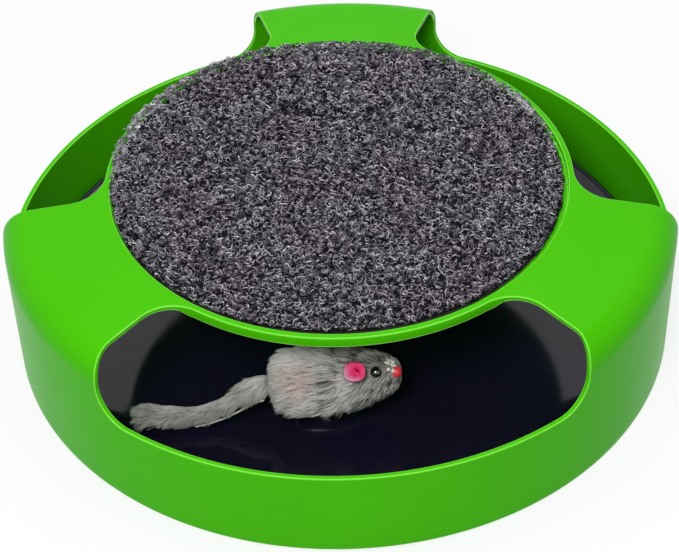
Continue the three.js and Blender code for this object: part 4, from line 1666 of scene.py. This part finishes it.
    def clearings(self) -> list[tuple[Array, float]]:
        """Lists the spots that stay free of hair.

        Returns:
            Each spot, and how far round it.
        """
        found = []
        for side in Side:
            eye, out = self.eye_spot(side)
            found.append((eye - self.eye_clearing_sink * out, self.eye_radius + self.eye_clearing))
            ear, out = self.ear_spot(side)
            found.append((ear + self.ear_clearing_rise * out, self.ear_clearing))
        nose = np.array(self.nose_place) + self.nose_clearing_shift
        found.append((nose, self.nose_radius + self.nose_clearing))
        return found

    def skin(self, name: str, rows: Rows, node: str) -> None:
        """Models the skin of one form and dresses it.

        Args:
            name: Name of the piece.
            rows: The form's rows.
            node: The node of the frame that it stands for.
        """
        piece = ball(self.skin_segments, self.skin_rings)
        blank = places(piece)
        x, _, _ = self.table(rows)
        along = x[0] + (x[-1] - x[0]) * (blank[:, 2] + 1) / 2
        turn = np.arctan2(blank[:, 1], blank[:, 0])
        spots, _, _ = self.on_form(rows, along, turn, self.skin_depth(along))
        spots[abs(blank[:, 2]) > self.pole, 1] = 0.0
        put(piece, self.world(spots) * MM)
        settle(piece, name)
        lumpy(piece, *self.skin_lumps)
        smooth(piece, self.skin_smooth_angle)
        dress(piece, Finish.SKIN, Body.SPINNER, "fur", node)

    def build(self) -> None:
        """Models both skins and dresses them."""
        self.skin("body_skin", self.body_rows, "mouse_body")
        self.skin("head_skin", self.head_rows, "mouse_head")


@dataclass(frozen=True)
class Coat:
    """Fur of one form, between two distances along X."""

    name: str
    rows: Rows
    first: float
    last: float
    hairs: int
    lay: float
    contrast: float


@dataclass
class Fur:
    """Swept fur of body and head; the tail's fur is made with the same means."""

    form: MouseForm
    body_hairs: int = 7000
    head_hairs: int = 5600
    steps: int = 5
    radius: float = 0.12
    radius_spread: Span = (0.75, 1.25)
    taper: Curve = ((0.0, 0.3, 1.0), (0.8, 1.0, 0.35))
    length_spread: Span = (0.7, 1.25)
    belly: float = -7.0
    belly_share: float = 0.75
    root_sink: float = 0.1
    root_spare: float = 0.5
    lay_spread: float = 7.0
    sweep: float = 0.6
    broad_swirl: Span = (0.5, 4.5)
    fine_swirl: Span = (0.25, 1.6)
    swirl_spread: float = 0.12
    swirl_lean: float = 0.45
    swirl_curl: float = 0.3
    flattening: float = 0.45
    droop: float = 0.05
    tuft_size: Span = (1.2, 1.5)
    tuft_pull: float = 0.55
    tuft_power: float = 1.5
    side_nudge: float = 0.01
    tone: float = 0.55
    tone_cells: Place = (0.45, 1.0, 1.0)
    patch_size: float = 2.4
    patch_tone: float = 0.25
    tuft_tone: float = 0.45
    hair_tone: float = 0.35
    # Painted shade: each hair is darker at its root, deep in the fur, and lighter at its tip.
    painted_root_shade: Curve = ((0.0, 0.5, 1.0), (-0.3, 0.0, 0.2))
    # Lighter towards the rear and darker towards the head: partly the head's greyer fur, partly painted
    # shade below the ear.
    shades: Curve = ((-22.0, -12.0, -5.0, 2.0, 8.0, 20.0), (-0.68, -0.64, -0.36, 0.0, 0.17, 0.32))
    # Painted light: hairs rooted higher up are lighter, and those lower down darker.
    painted_top_light: float = 0.02
    painted_top_light_limits: Span = (-0.16, 0.1)

    def hairs(
        self, roots: Array, outward: Array, back: Array, length: Array,
        draw: Draws, lay: float,
    ) -> Array:
        """Lays hairs back from their roots, drawn together into small tufts.

        Args:
            roots: Root of each hair.
            outward: Direction away from the skin at each root.
            back: Direction that the fur is combed in at each root.
            length: Length of each hair.
            draw: The random draws.
            lay: Angle from the skin at the root.

        Returns:
            The middles, hairs by steps by 3, in the mouse's own frame.
        """
        count = len(roots)
        share = np.linspace(0, 1, self.steps + 1)[None, :, None]
        angle = np.radians(draw.normal(lay, self.lay_spread, count))
        aside = np.cross(outward, back)
        broad, broad_size = self.broad_swirl
        fine, fine_size = self.fine_swirl
        seed = self.form.seed
        swirl = broad * ripple(roots, broad_size, seed) + fine * ripple(roots, fine_size, seed + 1)
        swirl = swirl + draw.normal(0, self.swirl_spread, count)
        down = outward * outward[:, 2:] - np.array([0.0, 0.0, 1.0])
        lean = self.swirl_lean * swirl[:, None] * aside
        forward = unit(np.cos(angle)[:, None] * back + lean + self.sweep * down)
        rise = np.sin(angle)[:, None] * outward
        lines = roots[:, None] + length[:, None, None] * (
            share * forward[:, None] + (share - self.flattening * share**2) * rise[:, None]
            + self.swirl_curl * share**2 * (swirl[:, None] * aside)[:, None]
        )
        lines[..., 2] -= self.droop * length[:, None] * share[..., 0] ** 2
        tuft = grouped(np.rint(roots / draw.uniform(*self.tuft_size)).astype(int))
        sums = np.zeros((tuft.max() + 1, self.steps + 1, 3))
        np.add.at(sums, tuft, lines)
        mean = sums / np.bincount(tuft)[:, None, None]
        return lines + (mean[tuft] - lines) * (self.tuft_pull * share**self.tuft_power)

    def comb(
        self, name: str, lines: Array, outward: Array,
        draw: Draws, shade: Array, contrast: float,
    ) -> None:
        """Turns middle lines into one piece of fur, clear of the eyes, ears and nose.

        Args:
            name: Name of the piece.
            lines: Middles of the hairs.
            outward: Direction away from the skin at each root.
            draw: The random draws.
            shade: How much darker each hair is; much of it is painted shade.
            contrast: How strongly the tone changes from hair to hair.
        """
        kept = np.ones(len(lines), bool)
        for spot, reach in self.form.clearings():
            kept &= np.linalg.norm(lines - spot, axis=2).min(axis=1) > reach
        lines, outward, shade = lines[kept], outward[kept], shade[kept]
        count = len(lines)
        share = np.linspace(0, 1, self.steps + 1)
        spread = draw.uniform(*self.radius_spread, count)[:, None]
        radii = self.radius * spread * np.interp(share, *self.taper)
        tuft = grouped(np.floor(lines[:, 0] * self.tone_cells).astype(int))
        patch = 0.5 + 0.5 * ripple(lines[:, 0], self.patch_size, self.form.seed + 2)
        tone = self.patch_tone * patch + self.tuft_tone * draw.uniform(0, 1, tuft.max() + 1)[tuft]
        tone = tone + draw.uniform(0, self.hair_tone, count)
        tone = self.tone + contrast * (tone - 0.5) - shade
        # Painted shade: the tone falls towards each hair's root.
        tones = np.clip(tone[:, None] + np.interp(share, *self.painted_root_shade), 0, 1)
        fibre = Fibre(self.steps)
        piece = fibre.scatter(name, self.form.world(lines), outward + self.side_nudge, radii, tones)
        dress(piece, Finish.FUR, Body.SPINNER, "fur")

    def roots(self, coat: Coat, draw: Draws) -> tuple[Array, Array]:
        """Spreads roots evenly over a form.

        Args:
            coat: The form's fur.
            draw: The random draws.

        Returns:
            Their distances along X and their turns round it.
        """
        x, girth, _ = self.form.table(coat.rows)
        size = girth * self.form.half_width
        slant = np.hypot(np.gradient(x), np.gradient(size)) * (size + self.root_spare)
        slant[(x < coat.first) | (x > coat.last)] = 0
        along = np.interp(draw.uniform(0, slant.sum(), coat.hairs), np.cumsum(slant), x)
        return along, draw.uniform(0, WHOLE_ROUND, coat.hairs)

    def build(self) -> None:
        """Models the fur of the body and of the head, and dresses it."""
        form = self.form
        coats = (
            Coat("body_fur", form.body_rows, -25.0, 6.5, self.body_hairs, 22.0, 2.7),
            Coat("head_fur", form.head_rows, 1.5, 25.0, self.head_hairs, 24.0, 1.6),
        )
        for offset, coat in enumerate(coats):
            draw = np.random.default_rng(form.seed + offset)
            along, turn = self.roots(coat, draw)
            sink = form.skin_depth(along) + self.root_sink
            spots, outward, back = form.on_form(coat.rows, along, turn, sink)
            length = np.interp(along, form.fur_knots, form.fur_lengths)
            length = length * draw.uniform(*self.length_spread, coat.hairs)
            length *= np.where(spots[:, 2] < self.belly, self.belly_share, 1.0)
            lines = self.hairs(spots, outward, back, length, draw, coat.lay)
            # Darker towards the head, partly painted shade, and painted light that makes higher hairs
            # lighter.
            shade = np.interp(along, *self.shades)
            shade -= np.clip(self.painted_top_light * spots[:, 2], *self.painted_top_light_limits)
            self.comb(coat.name, lines, outward, draw, shade, coat.contrast)


@dataclass
class Tail:
    """Tail of the mouse: a narrow hide core, its fur, and the bare, cut edge of the hide below.

    A row holds shares of the reach back, aside and down, and the girth there.
    """

    form: MouseForm
    fur: Fur
    rows: tuple[Knots, ...] = (
        (0.0, 0.0, 0.0, 1.45), (0.165, 0.012, 0.075, 1.15), (0.317, -0.013, 0.187, 1.0),
        (0.525, -0.042, 0.246, 1.0), (0.712, -0.037, 0.238, 1.1), (0.86, -0.035, 0.225, 1.2),
        (0.915, -0.05, 0.223, 1.0), (0.94, -0.06, 0.219, 0.6),
    )
    root: Place = (-21.0, 1.1, 0.6)
    reach: float = 52.0
    radius: float = 4.1
    floor_gap: float = 0.9
    count: int = 90
    flatness: float = 0.75
    core_segments: int = 24
    core_rings: int = 64
    core_radius: float = 2.3
    core_tip: float = 6.0
    core_smooth_angle: float = 80.0
    hairs: int = 6200
    hairless_ends: float = 2.0
    root_radius: float = 1.9
    hair_lengths: Span = (4.2, 7.4)
    short_ends: Span = (8.0, 12.0)
    end_shares: Knots = (0.75, 1.0, 1.0, 0.8)
    lay: float = 23.0
    contrast: float = 0.4
    parting_degrees: float = 340.0
    parting_width: float = 19.0
    parting_shares: Curve = ((0.04, 0.12, 0.42, 0.55), (0.0, 1.0, 1.0, 0.0))
    parting_trim: float = 0.62
    # Painted shadow: how much darker the hairs of the parting are.
    painted_parting_shadow: float = 1.3
    shades: Curve = ((0.0, 0.3, 1.0), (-0.2, 0.05, 0.18))
    edge_grid: tuple[int, int] = (60, 6)
    edge_span: Span = (0.11, 0.62)
    edge_degrees: float = 226.0
    edge_width: float = 0.3
    edge_narrowing: Curve = ((0.4, 0.5), (1.0, 0.2))
    edge_wave: Span = (0.06, 21.0)
    edge_reach: float = 4.3
    edge_thickness: float = 0.55
    edge_bevel: tuple[float, int] = (0.18, 2)
    edge_smooth_angle: float = 50.0
    seed_shift: int = 9

    def __post_init__(self) -> None:
        """Works out the smooth middle line from root to tip, its girth and its directions."""
        dish = Dish()
        across, aside_place, up_place = self.form.place
        points = []
        for back, aside, down, girth in self.rows:
            spot = np.array([-back, aside, -down]) * self.reach + np.array(self.root)
            out = math.hypot(spot[0] + across, spot[1] + aside_place) + self.radius
            lowest = dish.height_at(out) + self.floor_gap + girth * self.radius
            spot[2] = max(spot[2], lowest - up_place)
            points.append(spot)
        known = np.array(points)
        run = np.concatenate([[0], np.cumsum(np.linalg.norm(np.diff(known, axis=0), axis=1))])
        fine = np.linspace(0, run[-1], self.count)
        self.step = np.arange(self.count)
        self.line = softened(sampled(fine, run, known), self.count // 2)
        self.girth = np.interp(fine, run, [row[-1] for row in self.rows])
        self.along = unit(np.gradient(self.line, axis=0))
        self.aside = unit(np.cross([0.0, 0.0, 1.0], self.along))
        self.up = np.cross(self.along, self.aside)

    def at(self, spots: Array, values: Array) -> Array:
        """Points or directions of the line at spots between its steps."""
        return sampled(spots, self.step, values)

    def core(self) -> None:
        """Models the hide core and dresses it."""
        piece = ball(self.core_segments, self.core_rings)
        blank = places(piece)
        spots = (np.arcsin(np.clip(blank[:, 2], -1, 1)) / math.pi + 0.5) * (self.count - 1)
        round_off = np.sqrt(np.clip(1 - blank[:, 2] ** 2, 0, 1)) + NEXT_TO_NOTHING
        wide = self.core_radius * np.interp(spots, self.step, self.girth)
        wide = wide * np.minimum(1, self.core_tip * round_off) / round_off
        points = self.at(spots, self.line) + (wide * blank[:, 0])[:, None] * self.at(spots, self.aside)
        points += (self.flatness * wide * blank[:, 1])[:, None] * self.at(spots, self.up)
        put(piece, self.form.world(points) * MM)
        settle(piece, "tail_core")
        smooth(piece, self.core_smooth_angle)
        dress(piece, Finish.SKIN, Body.SPINNER, "fur", "mouse_tail")

    def hair(self) -> None:
        """Models the tail's fur, parted above the bare edge with a painted shadow there, and dresses
        it.
        """
        count = self.count
        draw = np.random.default_rng(self.form.seed + self.seed_shift)
        chosen = draw.uniform(self.hairless_ends, count - self.hairless_ends, self.hairs)
        turn = draw.uniform(0, WHOLE_ROUND, self.hairs)
        near = np.rint(chosen).astype(int)
        aside, up, girth = self.aside[near], self.up[near], self.girth[near]
        flat_up = self.flatness * np.sin(turn)[:, None] * up
        middle = self.at(chosen, self.line)
        roots = middle + (self.root_radius * girth)[:, None] * (np.cos(turn)[:, None] * aside + flat_up)
        length = draw.uniform(*self.hair_lengths, self.hairs) * girth
        first, last = self.short_ends
        length *= np.interp(chosen, [0, first, count - last, count], self.end_shares)
        parting = np.exp(-(((np.degrees(turn) - self.parting_degrees) / self.parting_width) ** 2))
        parting *= np.interp(chosen / count, *self.parting_shares)
        length = length * (1 - self.parting_trim * parting)
        out = around(turn, aside, up)
        lines = self.fur.hairs(roots, out, self.along[near], length, draw, self.lay)
        # Painted shadow: the parting's hairs are darkened, as in the shade under the fur above the bare
        # edge.
        shade = self.painted_parting_shadow * parting + np.interp(chosen / count, *self.shades)
        self.fur.comb("tail_fur", lines, out, draw, shade, self.contrast)

    def hide_edge(self) -> None:
        """Models and dresses the bare, cut edge of the hide at the lower front."""
        columns, rows = self.edge_grid
        piece = started(
            bpy.ops.mesh.primitive_grid_add, x_subdivisions=columns, y_subdivisions=rows, size=1
        )
        flat = places(piece)
        run, width = flat[:, 0], flat[:, 1]
        spots = np.interp(run, [-0.5, 0.5], self.edge_span) * (self.count - 1)
        ends = np.interp(abs(run), *self.edge_narrowing)
        wave, waves = self.edge_wave
        turn = np.radians(self.edge_degrees) + width * self.edge_width * ends
        turn = turn + wave * np.sin(run * waves)
        reach = np.interp(spots, self.step, self.girth) * self.edge_reach
        offset = around(turn, -self.at(spots, self.aside), self.at(spots, self.up))
        put(piece, self.form.world(self.at(spots, self.line) + reach[:, None] * offset) * MM)
        modify(piece, "SOLIDIFY", thickness=self.edge_thickness * MM, offset=0)
        settle(piece, "tail_hide_edge")
        bevel(piece, *self.edge_bevel)
        smooth(piece, self.edge_smooth_angle)
        dress(piece, Finish.HIDE, Body.SPINNER, "hide", "tail_hide")

    def build(self) -> None:
        """Models the core, the fur and the bare edge, and dresses them."""
        self.core()
        self.hair()
        self.hide_edge()


@dataclass
class Ears:
    """Two cupped ears of felt, each with a rolled rim and a fold at its middle."""

    form: MouseForm
    radius: float = 4.1
    corners: int = 40
    rings: int = 7
    squareness: float = 3.0
    square_share: float = 0.6
    rolled_degrees: float = 215.0
    cup: Knots = (0.3, 2.1, 0.55, 0.7)
    fold_depth: float = 1.1
    fold_slope: float = 0.9
    fold_shift: float = 0.2
    fold_width: float = 0.8
    fold_start: float = 0.1
    rim_start: float = 0.5
    rim_run: float = 0.25
    rim_least: float = 0.15
    rim_power: float = 1.5
    diagonal: float = 0.7
    # Painted shade: a dark spot where the ear's pocket lies.
    painted_pocket_shade_place: Span = (0.2, 1.1)
    painted_pocket_shade_size: Span = (1.1, 0.45)
    tone: float = 0.44
    rim_tone: float = 0.56
    # Painted shade: how much darker the tone is along the fold.
    painted_fold_shade: float = 0.25
    stretch: Span = (1.07, 0.98)
    drawn_in: float = 0.08
    thickness: float = 0.95
    lift: float = 0.25

    def blank(self) -> Piece:
        """Models a flat round disc with even rings.

        Returns:
            The disc.
        """
        piece = started(
            bpy.ops.mesh.primitive_circle_add, vertices=self.corners, radius=self.radius,
            fill_type="NGON",
        )
        edit(piece, "FACE")
        for _ in range(self.rings):
            bpy.ops.mesh.inset(thickness=self.radius / (self.rings + 1), depth=0)
        bpy.ops.mesh.merge(type="CENTER")
        leave_edit()
        return piece

    def shape(self, piece: Piece) -> None:
        """Squares, cups and folds a disc, and marks its tones, with painted shade in its pocket and
        along its fold.

        Args:
            piece: The disc.
        """
        disc = places(piece)
        reach = np.hypot(disc[:, 0], disc[:, 1]) / self.radius
        turn = np.arctan2(disc[:, 1], disc[:, 0])
        power = self.squareness
        square = (abs(np.cos(turn)) ** power + abs(np.sin(turn)) ** power) ** (-1 / power)
        disc[:, :2] *= 1 + (square[:, None] - 1) * self.square_share * reach[:, None]
        rolled = 0.5 + 0.5 * np.cos(turn - math.radians(self.rolled_degrees))
        bottom, height, even, more = self.cup
        disc[:, 2] = bottom + height * reach**2 * (even + more * rolled)
        middle = disc[:, 1] - self.fold_slope * disc[:, 0] + self.fold_shift
        fold = np.exp(-((middle / self.fold_width) ** 2))
        fold *= np.clip(disc[:, 0] / self.radius + self.fold_start, 0, 1) * (1 - reach**3)
        disc[:, 2] -= self.fold_depth * fold
        rim = np.clip((reach - self.rim_start) / self.rim_run, 0, 1)
        rim = rim * (self.rim_least + (1 - self.rim_least) * rolled**self.rim_power)
        # Painted shade: a dark spot at the ear's pocket and a darker tone along the fold.
        along_shift, across_shift = self.painted_pocket_shade_place
        along_size, across_size = self.painted_pocket_shade_size
        across = self.diagonal * disc[:, 0] + self.diagonal * disc[:, 1] - across_shift
        along = self.diagonal * disc[:, 0] - self.diagonal * disc[:, 1] - along_shift
        pocket_shade = np.exp(-((along / along_size) ** 2) - (across / across_size) ** 2)
        mark(piece.data, TONE, np.clip(
            self.tone + self.rim_tone * rim - pocket_shade - self.painted_fold_shade * fold, 0, 1
        ))
        disc[:, :2] *= np.array(self.stretch) * (1 - self.drawn_in * reach[:, None] ** 2)
        put(piece, disc)

    def build(self) -> None:
        """Models both ears and dresses them."""
        for side in Side:
            title = side.name.lower()
            spot, out = self.form.ear_spot(side)
            piece = self.blank()
            self.shape(piece)
            modify(piece, "SOLIDIFY", thickness=self.thickness, offset=1)
            modify(piece, "SUBSURF", levels=1, render_levels=1)
            local = aligned(places(piece), spot + self.lift * out, out)
            put(piece, self.form.world(local) * MM)
            settle(piece, f"felt_ear_{title}")
            smooth(piece)
            dress(piece, Finish.FELT, Body.SPINNER, "pink_felt", f"ear_{title}")


@dataclass
class Face:
    """Eyes and nose of the mouse, and the blobs of dried glue beside the nose."""

    form: MouseForm
    eye_sink: float = 0.7
    nose_direction: Place = (1.0, -0.15, 0.1)
    bead_segments: int = 32
    stem_foot: Span = (0.45, -1.35)
    stem_top: Span = (0.5, -0.86)
    bead_arc: tuple[float, float, int] = (-56.0, 84.0, 16)
    bead_flatness: float = 0.94
    bits: int = 14
    bit_forward: Span = (19.6, 22.3)
    bit_degrees: Span = (52.0, 88.0)
    bit_radius: Span = (0.3, 0.72)
    bit_foot: Span = (-0.4, -0.1)
    bit_flare: float = 1.1
    bit_arc: tuple[float, float, int] = (20.0, 80.0, 4)
    bit_segments: int = 14
    bit_length: Span = (0.7, 1.7)
    bit_width: Span = (0.6, 1.1)
    bit_height: float = 0.65
    bit_lumps: Span = (0.6, 0.08)
    seed_shift: int = 5

    def bead(
        self, name: str, radius: float, spot: Array, out: Array,
        finish: Finish, slot: str, node: str,
    ) -> None:
        """Models and dresses one bead with a short stem that is glued into the head.

        Args:
            name: Name of the piece.
            radius: Radius of the bead.
            spot: Its middle, in the mouse's own frame.
            out: The direction that it faces.
            finish: Its finish.
            slot: The record's slot for its finish.
            node: The node of the frame that it stands for.
        """
        foot_share, foot = self.stem_foot
        top_share, top = self.stem_top
        outline = arc((0.0, 0.0), radius, *self.bead_arc)
        profile = [
            (foot_share * radius, foot), (top_share * radius, top * radius),
            *[(across, self.bead_flatness * height) for across, height in outline],
        ]
        piece = turned(name, profile, self.bead_segments)
        put(piece, self.form.world(aligned(places(piece) / MM, spot, out)) * MM)
        smooth(piece)
        dress(piece, finish, Body.SPINNER, slot, node)

    def glue_bit(self, draw: Draws) -> Piece:
        """Models one blob of dried glue on the head's fur.

        Args:
            draw: The random draws.

        Returns:
            The blob.
        """
        forward, degrees = draw.uniform(*self.bit_forward), draw.uniform(*self.bit_degrees)
        radius = draw.uniform(*self.bit_radius)
        spot, out = self.form.on_head(forward, degrees, Side.RIGHT)
        foot, flare = self.bit_foot
        outline = arc((0.0, 0.0), radius, *self.bit_arc)
        profile = [(radius, foot), (self.bit_flare * radius, flare), *outline]
        piece = turned("glue_bit", profile, self.bit_segments)
        size = [draw.uniform(*self.bit_length), draw.uniform(*self.bit_width), self.bit_height]
        local = aligned(places(piece) / MM * size, spot, out, draw.uniform(0, HALF_TURN))
        put(piece, self.form.world(local) * MM)
        return piece

    def glue(self) -> None:
        """Joins the blobs of dried glue into one piece and dresses it."""
        draw = np.random.default_rng(self.form.seed + self.seed_shift)
        bits = [self.glue_bit(draw) for _ in range(self.bits)]
        focus(bits[0])
        for piece in bits:
            piece.select_set(True)
        bpy.ops.object.join()
        joined = bpy.context.object
        joined.name = "dried_glue_bits"
        lumpy(joined, *self.bit_lumps)
        smooth(joined)
        dress(joined, Finish.GLUE, Body.SPINNER, "fur")

    def build(self) -> None:
        """Models the eyes, the nose and the glue, and dresses them."""
        form = self.form
        for side in Side:
            spot, out = form.eye_spot(side)
            title = side.name.lower()
            self.bead(
                f"bead_eye_{title}", form.eye_radius, spot - self.eye_sink * out, out,
                Finish.BEAD, "black_bead", f"eye_{title}",
            )
        self.bead(
            "bead_nose", form.nose_radius, np.array(form.nose_place), np.array(self.nose_direction),
            Finish.RED, "red_bead", "nose",
        )
        self.glue()


@dataclass
class Clip:
    """Clear clip that holds the mouse on the dish: foot, flat stem and barbed head.

    A level holds the clip's length, its width and its height above the ground.
    """

    place: Span = (-7.0, -67.0)
    levels: Rows = (
        (21.4, 12.4, 6.6), (22.0, 13.0, 6.9), (22.0, 13.0, 7.4), (21.2, 12.2, 7.8),
        (12.0, 6.4, 7.85), (8.6, 4.6, 8.5), (7.2, 3.4, 10.0), (7.0, 3.2, 13.0),
        (7.0, 3.2, 22.6), (9.3, 3.2, 22.8), (9.5, 3.2, 23.4), (8.4, 2.6, 24.4),
    )
    corners: int = 64
    smooth_angle: float = 35.0

    def build(self) -> None:
        """Models the clip and dresses it."""
        piece = pillar(self.corners, len(self.levels) - 1)
        blank = places(piece)
        length, width, height = np.array(self.levels)[np.rint(blank[:, 2]).astype(int)].T
        radius = width / 2
        turn = np.arctan2(blank[:, 1], blank[:, 0])
        spread = np.sign(np.round(blank[:, 0], 6)) * (length / 2 - radius)
        across = self.place[0] + spread + radius * np.cos(turn)
        aside = self.place[1] + radius * np.sin(turn)
        put(piece, np.stack([across, aside, height], axis=1) * MM)
        settle(piece, "clear_clip")
        smooth(piece, self.smooth_angle)
        dress(piece, Finish.CLEAR, Body.SPINNER, "clear_plastic", "mouse_clip")


class Mouse:
    """Furry toy mouse on its clear clip."""

    def build(self) -> None:
        """Models the whole mouse and dresses it."""
        form = MouseForm()
        fur = Fur(form)
        for part in (Clip(), form, fur, Tail(form, fur), Ears(form), Face(form)):
            part.build()


# Studio


@dataclass
class Studio:
    """Pale floor, soft lamps, a plain white surround and the camera, in metres.

    A lamp has a name, a place, the length of its sides and a power in watts.
    """

    focal_length: float = 110.05
    sensor: float = 36.0
    nearest: float = 0.01
    eye: Place = (-0.00099, -0.596493, 0.545806)
    target: Place = (-0.00099, 0.0, 0.016624)
    roll: float = -1.937
    lamps: tuple[tuple[str, Place, float, float], ...] = (
        ("front_lamp", (-0.2, -0.75, 0.9), 0.32, 6.8), ("top_lamp", (0.1, 0.35, 1.4), 1.1, 7.0),
    )
    lamp_target: Place = (0.0, 0.0, 0.03)
    floor_size: float = 8.0
    floor_level: float = 0.52
    floor_seen: float = 0.97
    floor_white: float = 0.79
    floor_roughness: float = 0.9
    floor_shine: float = 0.1
    surround_level: float = 0.37

    def camera(self) -> None:
        """Places the camera at the photograph's viewing angle."""
        camera = started(bpy.ops.object.camera_add, location=self.eye)
        camera.name = "photo_camera"
        away = Vector(self.target) - Vector(self.eye)
        aim = away.to_track_quat("-Z", "Y").to_matrix().to_4x4()
        tilt = Matrix.Rotation(math.radians(self.roll), 4, "Z")
        camera.matrix_world = Matrix.Translation(self.eye) @ aim @ tilt
        camera.data.lens = self.focal_length
        camera.data.sensor_width = self.sensor
        camera.data.clip_start = self.nearest
        bpy.context.scene.camera = camera

    def light(self) -> None:
        """Adds the square soft lamps, which point at the toy."""
        for name, place, size, power in self.lamps:
            lamp = started(bpy.ops.object.light_add, type="AREA", location=place)
            lamp.name = name
            lamp.data.shape = "SQUARE"
            lamp.data.size = size
            lamp.data.energy = power
            aim = (Vector(self.lamp_target) - Vector(place)).to_track_quat("-Z", "Y")
            lamp.rotation_euler = aim.to_euler()

    def floor(self) -> None:
        """Lays the pale floor, seen as white away from the toy's shadow."""
        floor = started(bpy.ops.mesh.primitive_plane_add, size=self.floor_size)
        floor.name = "studio_floor"
        sheet = MaterialSheet("pale_floor")
        seen = sheet.seen_rays()
        tone = sheet.mix(seen, grey(self.floor_level), grey(self.floor_seen))
        sheet.set(Base_Color=tone, Roughness=self.floor_roughness, Specular_IOR_Level=self.floor_shine)
        share = sheet.calculate("MULTIPLY", seen, self.floor_white)
        white = sheet.node("ShaderNodeEmission").outputs[0]
        shaders = {0: share, 1: sheet.shader.outputs[0], 2: white}
        mixed = sheet.node("ShaderNodeMixShader", shaders)
        sheet.feed(sheet.tree.nodes["Material Output"].inputs["Surface"], mixed.outputs[0])
        floor.data.materials.append(sheet.material)

    def surround(self) -> None:
        """Fills the world with plain light, seen as white."""
        world = bpy.data.worlds.new("plain_surround")
        world.use_nodes = True
        bpy.context.scene.world = world
        sheet = NodeSheet(world.node_tree)
        inputs = {"Value": sheet.seen_rays(), "To Min": self.surround_level, "To Max": 1.0}
        power = sheet.node("ShaderNodeMapRange", inputs).outputs["Result"]
        background = sheet.tree.nodes["Background"]
        sheet.feed(background.inputs["Strength"], power)
        sheet.feed(background.inputs["Color"], grey(1.0))

    def build(self) -> None:
        """Sets up the whole studio."""
        self.floor()
        self.surround()
        self.light()
        self.camera()
        bpy.context.scene.view_settings.view_transform = "Standard"


def corners(box: tuple[Vector, Vector]) -> list[list[float]]:
    """Two corners of a box as plain lists of numbers."""
    return [list(corner) for corner in box]


def main() -> None:
    """Builds the toy around its frame."""
    logging.basicConfig(level=logging.INFO, format="%(name)s: %(message)s")
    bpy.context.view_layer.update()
    Studio().build()
    for assembly in (Cover(), Dish(), Base(), Pad(), Mouse()):
        assembly.build()


if __name__ == "__main__":
    main()
